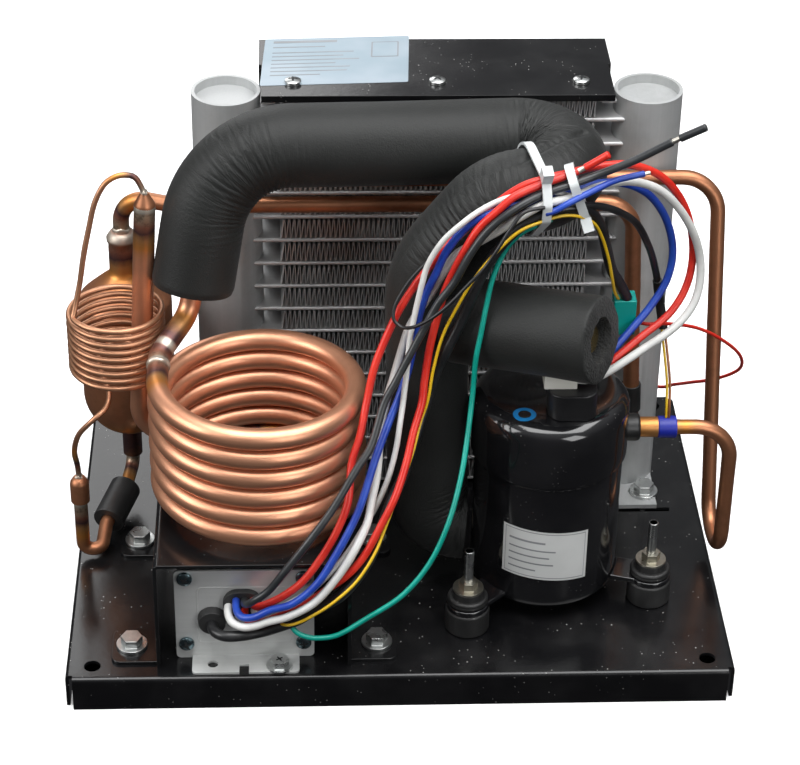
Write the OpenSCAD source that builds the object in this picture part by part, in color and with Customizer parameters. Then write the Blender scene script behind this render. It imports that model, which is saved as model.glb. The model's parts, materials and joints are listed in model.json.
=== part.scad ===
// Compact refrigeration module that chills water: a black pan carries a rotary compressor, a
// parallel-flow condenser with its fan, a receiver, a capillary and an open copper evaporator coil.
// Millimetres. X runs right, Y away from the coil side and Z up; the origin is the middle of the
// pan's footprint, on the surface that the pan stands on.

/* [Base pan] */
// Width of the pan
pan_w = 280; // [276:1:300]
// Depth of the pan
pan_d = 208; // [206:1:230]
// Height of the pan's deck
pan_h = 16; // [14:0.5:20]
// Sheet thickness of the pan and the brackets
sheet = 1.5; // [1.2:0.1:2]
// Distance between the left and right mounting holes
hole_span_w = 258; // [250:1:262]
// Distance between the front and rear mounting holes
hole_span_d = 190; // [180:1:192]
// Diameter of the mounting holes
hole_d = 7; // [5:0.5:8]

/* [Coil bracket] */
// Middle of the bracket, from the pan's middle to the left
bracket_left = 61.5; // [60:0.5:62]
// Middle of the bracket, from the pan's middle to the front
bracket_front = 48.5; // [47:0.5:49]
// Width of the bracket over its walls
bracket_w = 81; // [80:1:83]
// Length of the bracket from front to back
bracket_l = 97; // [96:1:99]
// Height of the bracket's top over the deck
bracket_h = 53.5; // [51:0.5:55]

/* [Controller] */
// Width of the controller and its front plate
controller_w = 57.6; // [54:0.2:60]
// Height of the controller
controller_h = 45.5; // [44:0.5:47]
// Length of the controller behind its plate
controller_l = 64; // [55:1:70]

/* [Evaporator coil] */
// Radius of the coil at the middle of its tube
coil_r = 40.6; // [39:0.2:41]
// Outside diameter of the coil's tube
coil_tube_d = 9; // [8.6:0.1:9]
// Rise of one turn of the coil
coil_pitch = 9.45; // [9.45:0.05:9.8]
// Number of turns of the coil
coil_turns = 5.75; // [4.75:1:5.75]

/* [Suction line foam] */
// Outside diameter of the foam on the suction line
foam_d = 35; // [30:1:35]
// Height of the foam's upper run over the deck
foam_rise = 192; // [190:1:196]
// Radius of the foam's fold at its right end
fold_r = 19; // [18:0.5:19.5]
// Outside diameter of the foam on the service branch
service_foam_d = 36; // [32:1:36]
// Bore of the foam on the service branch
service_bore_d = 18.6; // [16:0.2:20]
// Length of the service branch from the suction line to the foam's mouth
service_l = 78.5; // [74:0.5:80]

/* [Receiver and capillary] */
// Outside diameter of the receiver
receiver_d = 40.8; // [38:0.2:41]
// Length of the receiver's straight barrel
receiver_l = 48; // [44:1:50]
// Radius of the capillary's coil at the middle of its tube
capillary_r = 19.5; // [19.3:0.1:19.7]
// Outside diameter of the capillary
capillary_d = 2.4; // [2:0.1:2.6]
// Rise of one turn of the capillary
capillary_pitch = 3.5; // [3.3:0.1:3.6]
// Number of turns of the capillary
capillary_turns = 9; // [7:1:9]

/* [Condenser] */
// Outside diameter of the two headers
header_d = 29.2; // [28:0.2:29.4]
// Distance between the two headers
header_span = 178.7; // [176:0.1:180]
// Rise from one flat tube to the next
tube_pitch = 11.57; // [11:0.01:11.6]
// Number of flat tubes
tube_rows = 16; // [14:1:16]
// Depth of the flat tubes and the fins
core_d = 20; // [16:0.5:22]
// Thickness of a flat tube
flat_t = 1.9; // [1.6:0.1:2.2]
// Number of waves in one row of fins
fin_waves = 13; // [12:1:40]

/* [Shroud and fan] */
// Width of the fan shroud's top plate
shroud_w = 148; // [146:1:150]
// Depth of the shroud's top plate
shroud_d = 54; // [52:0.5:58]
// Side of the square fan frame
fan_size = 140; // [136:1:140]
// Depth of the fan frame
fan_depth = 25; // [20:1:25]
// Number of fan blades
blades = 7; // [5:1:9]
// Diameter of the fan's hub
fan_hub_d = 42; // [36:1:50]

/* [Compressor] */
// Outside diameter of the compressor's lower shell
shell_d = 63; // [61:0.5:64]
// Height of the lower shell's bottom over the deck
shell_rise = 6; // [5:0.5:8]
// Height of the upper cap's lower edge over the deck
seam_rise = 71; // [68:1:74]
// Height of the compressor's top over the deck
top_rise = 100; // [98:1:102]
// Wall thickness of the compressor's shell
shell_t = 2.5; // [2:0.1:3]
// Distance of the three studs from the compressor's axis
foot_r = 47.3; // [46.5:0.1:48.5]
// Diameter of the studs
stud_d = 4; // [3:0.5:5]

/* [Pipes] */
// Outside diameter of the discharge line
discharge_d = 6.4; // [6:0.1:7]
// Outside diameter of the liquid line
liquid_d = 7; // [6:0.1:7.2]

/* [Hidden] */

// Sides of a true circle
$fn = 48;
// Overrun of every cut
over = 1;
// Gap between pieces that are pressed or brazed together
press_gap = 0.05;
// Radial play of a shaft in its bearing
running_gap = 0.05;
// Gap between a soft piece and what it lies against
soft_gap = 0.3;
// Sides and turning step of the large bent tubes, the small bent tubes and the foam
tube_sides = 10;
small_sides = 8;
foam_sides = 16;
bend_step = 15;
foam_step = 15;
// Rings in one turn of a wound tube, and sides of the evaporator's and the capillary's tube
rings_per_turn = 24;
coil_sides = 8;
capillary_sides = 6;

// Height of the deck's surface
deck = pan_h;

// Unit vector along v
function unit(v) = v / norm(v);
// Value for corner i, from one value or a list of them
function pick(r, i) = is_list(r) ? r[i] : r;
// Points of the arc of radius r that rounds corner b between a and c
function corner(a, b, c, r, step) =
  let (u = unit(a - b), w = unit(c - b), half = acos(u * w) / 2,
    p = b + u * r / tan(half), centre = b + unit(u + w) * r / sin(half),
    e = unit(p - centre), turn = 180 - 2 * half, n = max(1, ceil(turn / step)))
  [for (i = [0 : n]) centre + r * (cos(turn * i / n) * e - sin(turn * i / n) * u)];
// Route through points p with every inner corner rounded
function route(p, r, step = bend_step) = [p[0],
  for (i = [1 : len(p) - 2]) each corner(p[i - 1], p[i], p[i + 1], pick(r, i - 1), step),
  p[len(p) - 1]];
// Smooth curve through points p, with m steps between neighbours
function smooth(p, m) = let (n = len(p) - 1)
  [for (i = [0 : n - 1], k = [0 : m - 1]) let (t = k / m, a = p[max(i - 1, 0)], b = p[i],
    c = p[i + 1], d = p[min(i + 2, n)])
    (b * 2 + (c - a) * t + (a * 2 - b * 5 + c * 4 - d) * t * t
      + (b * 3 - a - c * 3 + d) * t * t * t) / 2,
  p[n]];
// Wound tube's middle line, of one radius, from angle a0 at z0 over a number of turns
function winding(x, y, r, z0, pitch, a0, turns) = let (n = round(turns * rings_per_turn))
  [for (i = [0 : n]) let (a = a0 + 360 * turns * i / n)
    [x + r * cos(a), y + r * sin(a), z0 - pitch * turns * i / n]];
// Least distance between the surfaces of a wound tube's turns
function least_gap(p, d, skip) = min([for (i = [0 : len(p) - skip - 1])
  for (j = [i + skip : len(p) - 1]) norm(p[i] - p[j])]) - d;
// Direction of travel at each point of a path
function headings(p) = let (n = len(p) - 1)
  [for (i = [0 : n]) unit(p[min(i + 1, n)] - p[max(i - 1, 0)])];
// First direction square to t
function square_to(t) = unit(cross(t, abs(t[2]) < 0.9 ? [0, 0, 1] : [0, 1, 0]));
// Directions square to each heading that turn as little as they can along the path
function sideways(t) = [for (i = 0, s = square_to(t[0]); i < len(t);
  i = i + 1, s = i < len(t) ? unit(s - (s * t[i]) * t[i]) : s) s];
// Points of the rings round a path
function rings(p, r, sides) = let (t = headings(p), s = sideways(t))
  [for (i = [0 : len(p) - 1], k = [0 : sides - 1]) let (a = 360 * k / sides)
    p[i] + r * (cos(a) * s[i] + sin(a) * cross(t[i], s[i]))];
// Triangles of a tube's outer wall, of n rings, whose points start at base
function wall(n, sides, base = 0) = [for (i = [0 : n - 2], k = [0 : sides - 1])
  let (a = base + i * sides + k, b = base + i * sides + (k + 1) % sides, c = b + sides,
    d = a + sides) each [[a, d, c], [a, c, b]]];
// The same triangles, facing inwards
function lining(n, sides, base) = [for (f = wall(n, sides, base)) [f[0], f[2], f[1]]];

// Solid round bar along a path
module bar(p, r, sides) {
  n = len(p);
  last = (n - 1) * sides;
  ends = [for (k = [1 : sides - 2]) each [[0, k, k + 1], [last, last + k + 1, last + k]]];
  polyhedron(rings(p, r, sides), concat(wall(n, sides), ends));
}

// Hollow round sleeve along a path
module sleeve(p, r, bore, sides) {
  n = len(p);
  inner = n * sides;
  last = (n - 1) * sides;
  rims = [for (k = [0 : sides - 1]) let (m = (k + 1) % sides) each [
    [k, m, inner + m], [k, inner + m, inner + k],
    [last + k, inner + last + m, last + m], [last + k, inner + last + k, inner + last + m]]];
  polyhedron(concat(rings(p, r, sides), rings(p, bore, sides)),
    concat(wall(n, sides), lining(n, sides, inner), rims));
}

// Cylinder from point a to point b
module rod(a, b, r) {
  v = b - a;
  translate(a) rotate([0, acos(v[2] / norm(v)), atan2(v[1], v[0])]) cylinder(r = r, h = norm(v));
}

// Box between two corners
module block(a, b) { translate(a) cube(b - a); }

// Outline with two round corners at its top, standing on the X axis
module arch(w, h, r) {
  translate([-w / 2, 0]) square([w, h - r]);
  translate([r - w / 2, 0]) square([w - 2 * r, h]);
  for (s = [-1, 1]) translate([s * (w / 2 - r), h - r]) circle(r);
}

// Folded channel outline, open below
module channel(w, h, t, r) {
  difference() {
    arch(w, h, r);
    translate([0, -over]) arch(w - 2 * t, h - t + over, r - t);
  }
}

// Rectangle with round corners, centred
module round_plate(w, d, r, h) {
  linear_extrude(h) {
    square([w - 2 * r, d], center = true);
    square([w, d - 2 * r], center = true);
    for (x = [-1, 1], y = [-1, 1]) translate([x * (w / 2 - r), y * (d / 2 - r)]) circle(r);
  }
}

// Hexagon bolt with a flange, its seat at z = 0 and its shank below
module flange_bolt(flat_w, head_h, flange_d, flange_t, shank_d, shank_l) {
  cylinder(d = flange_d, h = flange_t);
  cylinder(d = flat_w / cos(30), h = head_h, $fn = 6);
  translate([0, 0, -shank_l]) cylinder(d = shank_d, h = shank_l);
}

// Hexagon nut round a shank
module hex_nut(flat_w, h, bore) {
  difference() {
    cylinder(d = flat_w / cos(30), h = h, $fn = 6);
    translate([0, 0, -over]) cylinder(d = bore, h = h + 2 * over);
  }
}

// Pan: bend radius, set-back of the front and rear flanges, cut at their lower corners
pan_bend = 2;
flange_inset = 3;
flange_cut = 4;
// Slot in the deck at the right: middle, length and width
slot_at = [114, 10.7];
slot_l = 25;
slot_w = 3;

// Bolts: head across flats and height, flange, shank, nut and hole play
bolt_flat = 8;
bolt_head_h = 5;
bolt_flange_d = 13;
bolt_flange_t = 1.4;
bolt_d = 5;
bolt_l = 7;
nut_h = 3;
hole_play = 0.4;

// Bracket: places, bend, tabs and the bolts in them
bracket_x = -bracket_left;
bracket_y = -bracket_front;
bracket_top = deck + bracket_h;
bracket_bend = 2.5;
tab_l = 20;
tab_w = 22;
tab_round = 4;
bolt_out = 11;
bolt_pitch = 73;
bolt_back = 1.5;
bracket_bolts_at = [for (x = [-1, 1], y = [-1, 1])
  [bracket_x + x * (bracket_w / 2 + bolt_out), bracket_y + bolt_back + y * bolt_pitch / 2, deck]];

// Controller: plate, its tab and screws, the housing and the two grommets
controller_x = bracket_x - 3.7;
plate_t = 1.2;
plate_y = bracket_y - bracket_l / 2 + 6.8;
plate_round = 2;
tab_out = 11.3;
tab_wide = 44.7;
tab_right = 0.2;
tab_bolt_x = 14.2;
tab_bolt_y = 7.6;
tab_hole_x = -13.5;
tab_hole_y = 5.8;
tab_hole_d = 4.4;
tab_slot_x = -0.5;
tab_slot_w = 4;
tab_slot_l = 5;
small_bolt_flat = 7;
small_bolt_h = 3.8;
small_washer_d = 11;
small_washer_t = 1;
small_bolt_d = 4;
screw_in = 4.4;
screw_up = 8;
screw_pitch_h = 34;
screw_head_d = 6.4;
screw_head_h = 2.2;
screw_d = 3;
screw_l = 8;
housing_margin = 1.2;
housing_h = controller_h - 2.5;
fin_count = 9;
fin_h = 5;
fin_w = 2;
grommet_at = [-0.8, 30];
grommet_w = 16;
grommet_h = 12.6;
grommet_out = 3;
grommet_lip = 1.2;
signal_at = [-13.4, 21];
signal_d = 12.4;
signal_out = 4;

// Evaporator coil: middle, ends and place on the bracket
coil_x = bracket_x + 2.4;
coil_y = bracket_y + 0.1;
coil_bottom = bracket_top + coil_tube_d / 2 + press_gap;
coil_top = coil_bottom + coil_pitch * coil_turns;
coil_start = 180;
coil_slope = coil_pitch / (2 * PI * coil_r);
coil_end = coil_start + 360 * coil_turns;
function heading_at(a, slope) = unit([-sin(a), cos(a), -slope]);
coil_inlet = [coil_x + coil_r * cos(coil_end), coil_y + coil_r * sin(coil_end), coil_bottom]
  + coil_tube_d * heading_at(coil_end, coil_slope);
coil_outlet = [coil_x - coil_r, coil_y, coil_top]
  - coil_tube_d * heading_at(coil_start, coil_slope);
coil_path = concat([coil_outlet],
  winding(coil_x, coil_y, coil_r, coil_top, coil_pitch, coil_start, coil_turns), [coil_inlet]);

// Riser from the coil's lower end: foot, lean and top
riser_foot = [coil_x - coil_r - 11.1, coil_inlet[1], coil_inlet[2]];
riser_top = riser_foot + [6.5, 0, 113];
riser_bend = 14;
riser_cone_h = 6;
riser_path = route([coil_inlet, riser_foot, riser_top], riser_bend);

// Suction line: corners of its route, bend radii, ports and bore of its foam
suction_d = coil_tube_d;
run_z = deck + foam_rise;
run_y = 8;
fold_x = coil_x + 126.1;
second_y = run_y - 2 * fold_r - soft_gap;
leg_foot = [coil_x - 26.5, -11, run_z - 58];
leg_top = [coil_x - 16.4, 2, run_z];
leg_way = unit(leg_top - leg_foot);
leg_lead = 12;
comp = [63.5, -39];
suction_port_z = deck + 26;
suction_port_turn = 165;
suction_port_l = 4;
suction_port = [comp[0], comp[1], suction_port_z]
  + (shell_d / 2 + suction_port_l) * [cos(suction_port_turn), sin(suction_port_turn), 0];
down_x = comp[0] - shell_d / 2 - 21.5;
down_y = second_y;
foam_bore = suction_d / 2 + soft_gap;
suction_corners = [
  leg_foot - leg_lead * leg_way, leg_top,
  [fold_x, run_y, run_z], [fold_x, second_y, run_z - 1],
  [down_x + 27.5, down_y, run_z - 4.5], [down_x, down_y, run_z - 40],
  [suction_port[0] - 15.5, down_y + 0.5, suction_port_z]];
suction_bends = [12, 38, fold_r, fold_r, 26, 40, 15.4];
suction_path = route(concat([coil_outlet, coil_outlet + [0, 7, 0.8]], suction_corners,
  [suction_port]), concat([10], suction_bends));
foam_end = suction_port - 5 * unit(suction_port - suction_corners[6]);
foam_path = route(concat([leg_foot], [for (i = [1 : 6]) suction_corners[i]], [foam_end]),
  [for (i = [1 : 6]) suction_bends[i]], foam_step);

// Service branch: tee on the suction line, direction, and what lies along it
tee_share = 0.167;
tee = suction_corners[5] + (suction_corners[6] - suction_corners[5]) * tee_share;
service_turn = 29.2;
service_lift = 8;
service_way = [cos(service_lift) * cos(service_turn), -cos(service_lift) * sin(service_turn),
  sin(service_lift)];
function along(s) = tee + s * service_way;
tee_r = coil_tube_d / 2 + 0.1;
tee_l = 9;
valve_recess = 4;
valve_end = service_l - valve_recess;
thread_r = 5.56;
thread_l = 13.5;
valve_hex_l = 5;
valve_hex_w = 13;
branch_r = 4;
core_r = 2.6;
core_deep = 3;
pin_r = 0.75;
pin_travel = 1.2;
pin_l = 10;
pin_stand = 0.8;

// Receiver: place, heights, cone, necks and brazed rings
receiver_at = [-117.3, 30];
receiver_barrel_z = deck + 56;
receiver_top_z = receiver_barrel_z + receiver_l;
cone_h = 13;
neck_r = 6;
neck_h = 16;
ring_r = 6.7;
ring_h = 4;
lower_neck_r = 4.3;
lower_neck_h = 14;
receiver_end = receiver_top_z + cone_h + neck_h + ring_h;
receiver_foot = receiver_barrel_z - receiver_d / 2 - lower_neck_h;

// Tube from the receiver's foot to the capillary, with its sleeve and joint
outlet_r = 3;
sleeve_r = 6.9;
outlet_low = deck + outlet_r + 1.6;
joint_at = [-137.2, -20, deck + 31];
joint_r = 4.1;
joint_h = 10;
joint_cone_h = 2.5;
sleeve_from = [receiver_at[0] - 2.9, receiver_at[1] - 15, deck + 12.6];
sleeve_to = [receiver_at[0] - 9.9, receiver_at[1] - 35, deck + 8.6];
outlet_way = unit(sleeve_to - sleeve_from);
outlet_path = route([[receiver_at[0], receiver_at[1], receiver_foot],
  [receiver_at[0], receiver_at[1], sleeve_from[2] + 3.6], sleeve_from - 1 * outlet_way,
  sleeve_to + 2 * outlet_way, [joint_at[0] + 8, joint_at[1], outlet_low],
  [joint_at[0], joint_at[1], outlet_low], joint_at], [6, 7, 5, 3.8, 4]);

// Capillary: middle of its coil, heights, and its two free stretches as shares of the way
capillary_at = [-118.3, -12];
capillary_top = deck + 125;
capillary_start = 210;
capillary_part = -1 / 3;
capillary_end = capillary_start + 360 * (capillary_turns + capillary_part);
capillary_bottom = capillary_top - capillary_pitch * (capillary_turns + capillary_part);
capillary_first = [capillary_at[0] + capillary_r * cos(capillary_start),
  capillary_at[1] + capillary_r * sin(capillary_start), capillary_top];
capillary_last = [capillary_at[0] + capillary_r * cos(capillary_end),
  capillary_at[1] + capillary_r * sin(capillary_end), capillary_bottom];
capillary_in = riser_top + [0, 0, riser_cone_h];
capillary_out = joint_at + [0, 0, joint_h + joint_cone_h];
loop_shares = [[0, 0, -0.07], [0.1, 0, -0.13], [0.24, 0.01, -0.16], [0.38, 0.08, -0.15],
  [0.52, 0.15, -0.09], [0.65, 0.23, 0.06], [0.74, 0.35, 0.27], [0.82, 0.48, 0.48],
  [0.89, 0.62, 0.72], [0.95, 0.76, 0.88], [0.985, 0.9, 0.97]];
tail_shares = [[0.22, -0.01, 0.01], [0.42, 0.1, 0.036], [0.48, 0.31, 0.07], [0.37, 0.64, 0.11],
  [0.21, 0.96, 0.16], [0.26, 1.22, 0.22], [0.59, 1.35, 0.31], [0.9, 1.27, 0.47],
  [1.04, 1.14, 0.68], [1.01, 1.04, 0.87]];
function between(a, b, shares) = [for (s = shares) [for (k = [0 : 2]) a[k] + (b[k] - a[k]) * s[k]]];
capillary_path = concat(
  smooth(concat([capillary_in], between(capillary_in, capillary_first, loop_shares)), 2),
  winding(capillary_at[0], capillary_at[1], capillary_r, capillary_top, capillary_pitch,
    capillary_start, capillary_turns + capillary_part),
  smooth(concat(between(capillary_last, capillary_out, tail_shares), [capillary_out]), 2));

// Condenser: places, walls and heights
header_left_x = -71.6;
header_right_x = header_left_x + header_span;
header_x = [header_left_x, header_right_x];
header_y = 42.6;
header_r = header_d / 2;
header_t = 1.5;
header_h = 197.6;
cap_deep = 4;
cap_t = 2;
first_row = deck + 14.2;
tube_in = 8;
fin_margin = 22;
fin_t = 0.35;
fin_rise = tube_pitch - flat_t;
fin_x0 = header_left_x + fin_margin;
fin_run = header_span - 2 * fin_margin;
plate_step = 1.2;
plate_bend = 2.4;
header_foot_w = 20;
header_foot_t = 2;
header_bolt_side = 8.6;
header_bolt_front = 21;
port_r = 5;
port_out = 4.4;
discharge_turn = -50;
liquid_turn = -90;
liquid_port_out = 1.6;
liquid_port_z = deck + 42;

// Discharge line: corners and bend radii
discharge_z = deck + 80;
boss_r = 5.6;
boss_l = 5;
discharge_out = pan_w / 2 + 1;
discharge_low = deck + 12;
discharge_dip = 0.5;
discharge_y = 23;
discharge_high = deck + 165.5;
header_port = [header_left_x, header_y, discharge_high]
  + (header_r + port_out) * [cos(discharge_turn), sin(discharge_turn), 0];
discharge_start = [comp[0] + shell_d / 2 + 1.5 + boss_l, comp[1], discharge_z];
discharge_path = route([discharge_start, [discharge_out, comp[1], discharge_z - discharge_dip],
  [discharge_out, comp[1], discharge_low], [discharge_out - 1, comp[1] + 27, discharge_low],
  [discharge_out - 4, discharge_y, discharge_high],
  [header_port[0] + 7, discharge_y, discharge_high], header_port], [16, 13, 13, 16, 9]);

// Liquid line: corners and bend radii
liquid_y = 21;
liquid_z = deck + 154.5;
liquid_port = [header_right_x, header_y - header_r - liquid_port_out, liquid_port_z];
liquid_top = [header_right_x - 6, liquid_y, liquid_z];
liquid_foot = [header_right_x, liquid_y, liquid_port_z];
liquid_path = route([[receiver_at[0], receiver_at[1], receiver_end],
  [receiver_at[0], receiver_at[1], liquid_z], [receiver_at[0] + 24, liquid_y, liquid_z],
  liquid_top, liquid_foot, liquid_port], [13, 14, 14, 4.5]);
liquid_sleeve_share = [0.82, 0.94];
liquid_sleeve_r = 4.4;

// Shroud and fan: places, walls, holes and screws
shroud_t = 1.2;
shroud_x = header_left_x + header_span / 2 - 0.35;
shroud_y = header_y - 14;
shroud_back = shroud_y + shroud_d;
shroud_top = deck + 201.7;
shroud_lip = 3;
wall_front = header_y + header_r + 0.8;
foot_flange = 11;
fan_z = deck + 100;
fan_back = shroud_back - shroud_t;
fan_front = fan_back - fan_depth;
fan_flange_t = 3.5;
fan_wall = 3;
fan_bore_r = fan_size / 2 - fan_wall - 0.5;
fan_round = 5;
fan_hole_pitch = fan_size - 15.5;
fan_hole_d = 4.6;
tip_gap = 2;
shaft_r = 1.5;
bearing_r = 4;
motor_r = 18;
motor_t = 3.6;
strut_w = 5;
rotor_front = 2;
rotor_depth = fan_depth - rotor_front - motor_t - 1.4;
hub_t = 2;
blade_t = 1.8;
blade_root = fan_hub_d / 2 - 0.8;
blade_tip = fan_bore_r - tip_gap;
guard_r = 1.1;
guard_rings = 4;
guard_inner = 16;
eyelet_r = 4;
fan_screw_d = 4;
fan_screw_head_d = 8;
fan_screw_head_h = 2.6;
top_screw_d = 3;
top_screw_head_d = 7;
top_screw_head_h = 2.4;
top_screw_in = 12;
top_screw_l = 1.8;

// Compressor: radii, heights, feet, cover, motor and pump
shell_r = shell_d / 2;
shell_bottom = deck + shell_rise;
shell_round = 6;
cap_r = shell_r + 1.5;
seam_z = deck + seam_rise;
skirt_h = 7;
comp_top = deck + top_rise;
cap_round = 7;
foot_turn = 103;
foot_z = deck + 11;
foot_t = 2.5;
foot_pad_r = 9;
foot_arm_w = 14;
foot_hole_r = 6.6;
grommet_top = deck + 20;
grommet_r = 9.4;
upper_grommet_r = 7.4;
grommet_edge = 1.2;
foot_washer_r = 6.5;
foot_washer_t = 1;
foot_nut_flat = 7;
foot_nut_h = 3.4;
stud_top = deck + 40;
stud_head_h = 3;
cover_at = [comp[0] + 6.5, comp[1] - 16.5];
cover_w = 20;
cover_d = 17;
cover_h = 12;
cover_round = 6;
plug_w = 13.5;
plug_d = 11.4;
plug_h = 6.5;
plug_back = 2.9;
plug_over = 2;
stator_r = shell_r - shell_t - press_gap;
stator_bore = 16.2;
stator_z = deck + 43;
stator_h = 30;
winding_h = 6;
winding_r = 26;
rotor_r = 15.8;
crank_r = 4;
pump_z = deck + 12;
pump_plate = 6;
chamber_h = 12;
chamber_r = 15;
eccentric_r = 8;
throw = 2.5;
collar_r = 8;
collar_h = 6;
vane_w = 3;
vane_l = 9;
shaft_top = stator_z + stator_h + 4;

// Wires: diameters, rings between two points of a route, and their routes, chosen by hand
lead_d = 3.2;
motor_d = 3.2;
motor_white_d = 3.4;
sense_d = 2.4;
yellow_d = 1.3;
earth_d = 2.2;
thin_d = 1.5;
blue_d = 2.6;
signal_cable_d = 4.5;
sensor_d = 3;
cord_steps = 2;
lead_black_route = [[-65, -93.2, 48.5], [-65, -96.5, 49.5], [-63.8, -101, 52.5], [-61, -103.8, 56.5],
  [-55, -104.5, 62], [-48.5, -104.5, 71.5], [-39, -102.5, 84.5], [-29, -96.5, 96.5],
  [-19.5, -88.5, 110], [-13, -82.5, 118.5], [-8, -74, 132], [-3.5, -70.5, 140], [2, -67.4, 150.3],
  [8, -64.6, 161.8], [13.5, -62.6, 172.4], [19.5, -62.2, 181.6], [25, -61.6, 193.2],
  [31, -60.3, 202.4], [37.5, -59.3, 208.9], [46, -57, 214.1], [54, -53.8, 216.7], [65, -51.1, 219.2],
  [76, -48.3, 222.2], [90, -49, 229], [103, -50, 237], [115.5, -52, 244.5]];
lead_red_route = [[-65, -93.2, 43.4], [-65, -96, 43], [-63.6, -99.3, 42.7], [-60.5, -101.2, 42.8],
  [-56, -101.4, 44], [-50, -101, 46.5], [-42, -100.8, 50.3], [-31, -99.4, 58.7], [-22.7, -99.4, 66],
  [-16, -97.4, 74], [-9.5, -94, 86], [-3.5, -90, 98], [1, -82.5, 109], [4, -75.1, 119],
  [7.5, -69.3, 129.2], [8.5, -66.1, 137.4], [10.5, -62.1, 150.7], [13.5, -58.8, 163.7],
  [16, -57.3, 173.7], [19.5, -57.7, 184.1], [24, -58.5, 195.1], [29, -57.8, 203.9],
  [36, -56.8, 210.9], [43, -54.8, 216.4], [54, -51.8, 220.1], [62, -49.3, 221.9], [70, -47, 224.2],
  [79, -48.6, 231]];
lead_blue_route = [[55, -57.4, 210.1], [59, -56.7, 211.1], [65, -55.6, 214.2], [77, -50.7, 218.1],
  [84, -47.5, 219.5], [96.5, -44, 220.5]];
motor_red_route = [[-61.5, -93.2, 48.5], [-61.5, -96, 48.5], [-60, -98.7, 49.5], [-56.5, -100.3, 51.7],
  [-49, -101.5, 57], [-41, -101.5, 64.5], [-33.5, -98.5, 74], [-27, -95, 85], [-22.5, -90, 96],
  [-21, -81.5, 108.5], [-17.5, -75, 117.5], [-14.5, -67, 129.5], [-11, -62, 144], [-4, -56.5, 160],
  [0, -54.9, 167.8], [5.5, -52.2, 175.8], [11, -50.9, 183.2], [15, -50.3, 189.6], [21, -51, 195.8],
  [28, -50.8, 202.9], [38, -48.9, 211.4], [46, -48, 216.8], [54, -47.6, 219.7], [66, -44.5, 221.2],
  [78, -40.1, 221.6], [91, -36, 219.5], [104, -32, 211.5], [114, -29, 197], [119, -28, 179],
  [118, -31, 163], [111, -36, 151], [98, -43, 143], [84, -50.7, 135], [77, -52.6, 131.7],
  [71.5, -52.6, 131.5]];
motor_blue_route = [[-68.5, -93.2, 48.5], [-68.5, -96.5, 48], [-67.6, -100.2, 47.3], [-65, -103, 47.2],
  [-60.5, -104.3, 48.6], [-54.5, -104.4, 52], [-45, -104.5, 55.5], [-35, -103.5, 65],
  [-26.5, -99, 78], [-19.5, -93, 90], [-15.5, -88, 99.5], [-11.5, -80.5, 109.5], [-6.5, -73, 120.5],
  [-2, -67.1, 129.5], [2, -63.3, 141.2], [4.5, -59.7, 153.4], [6, -57.5, 162.1], [9, -55, 172],
  [13, -54.7, 181.9], [16.5, -54.2, 190.8], [22, -54.2, 199.4], [29, -54, 205.9], [37, -53.6, 209.2],
  [45, -53.3, 211.5], [54, -51.5, 213], [60, -47.7, 211.7], [67, -44, 211.9], [76, -38.8, 212.7],
  [88, -34.5, 210.5], [99, -31.5, 203.5], [107, -29, 191], [111, -28, 176], [109.5, -29.5, 163],
  [103, -33.5, 152.5], [94, -39.5, 144], [84, -46.8, 136], [77, -49, 131.7], [71.5, -49, 131.5]];
motor_white_route = [[-71.8, -93.2, 45.5], [-71.8, -96.5, 44.8], [-70.3, -101, 43.6],
  [-66, -104, 43.2], [-61, -104.8, 44.2], [-55, -104.8, 46.5], [-46.5, -104.8, 49.2],
  [-36, -104.3, 56], [-27, -101.5, 66.5], [-20.5, -98.5, 76.5], [-15, -92.3, 86], [-13, -87, 93.5],
  [-10.5, -80, 103], [-9, -70.5, 117], [-6.5, -64, 127.5], [-4, -61, 135], [-1, -57.7, 145.1],
  [2, -55, 154.8], [6, -53, 162.1], [11.5, -51.8, 171.2], [15.5, -52.1, 179.7], [21, -52, 188.8],
  [28.5, -53.3, 194.4], [37, -54.8, 200.9], [45, -56.1, 207.7], [54, -55.2, 212.8],
  [65, -51.6, 213.7], [77, -46.2, 215.6], [90, -41, 215], [104, -37, 207.5], [116, -34, 191],
  [122, -32, 173], [121, -36, 158], [113, -41.5, 148], [98, -48, 140], [84, -54.6, 134],
  [77, -56.2, 131.5], [71.5, -56.2, 131.5]];
sense_white_route = [[-61.3, -93.2, 44], [-61.3, -95, 44], [-60, -96.8, 44.2], [-55, -97.6, 45.6],
  [-47, -97.8, 50], [-38, -98.8, 57.5], [-30, -99, 66.3], [-22, -95, 75], [-14, -86, 84],
  [-10, -84, 91.5], [-6, -81.5, 101.5], [-3, -78, 113], [-1.5, -75, 122.5], [0, -70.1, 131.6],
  [1.5, -65.8, 144.2], [2.5, -62.5, 155.4], [4.5, -59.4, 165.6], [7, -57.9, 177.9],
  [9.5, -56.7, 187.1], [15, -56.5, 197.2], [21.5, -56.6, 204.4], [29, -54.3, 209.4],
  [37, -52.3, 212.9], [45, -51.4, 215], [54, -49.9, 216.5], [61, -49.8, 214.7], [69, -46.3, 209.5],
  [75, -41.9, 202.2], [79, -38.5, 192.5], [82, -36, 182], [85, -34, 171], [88, -31, 162],
  [89.4, -29.5, 156]];
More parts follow.
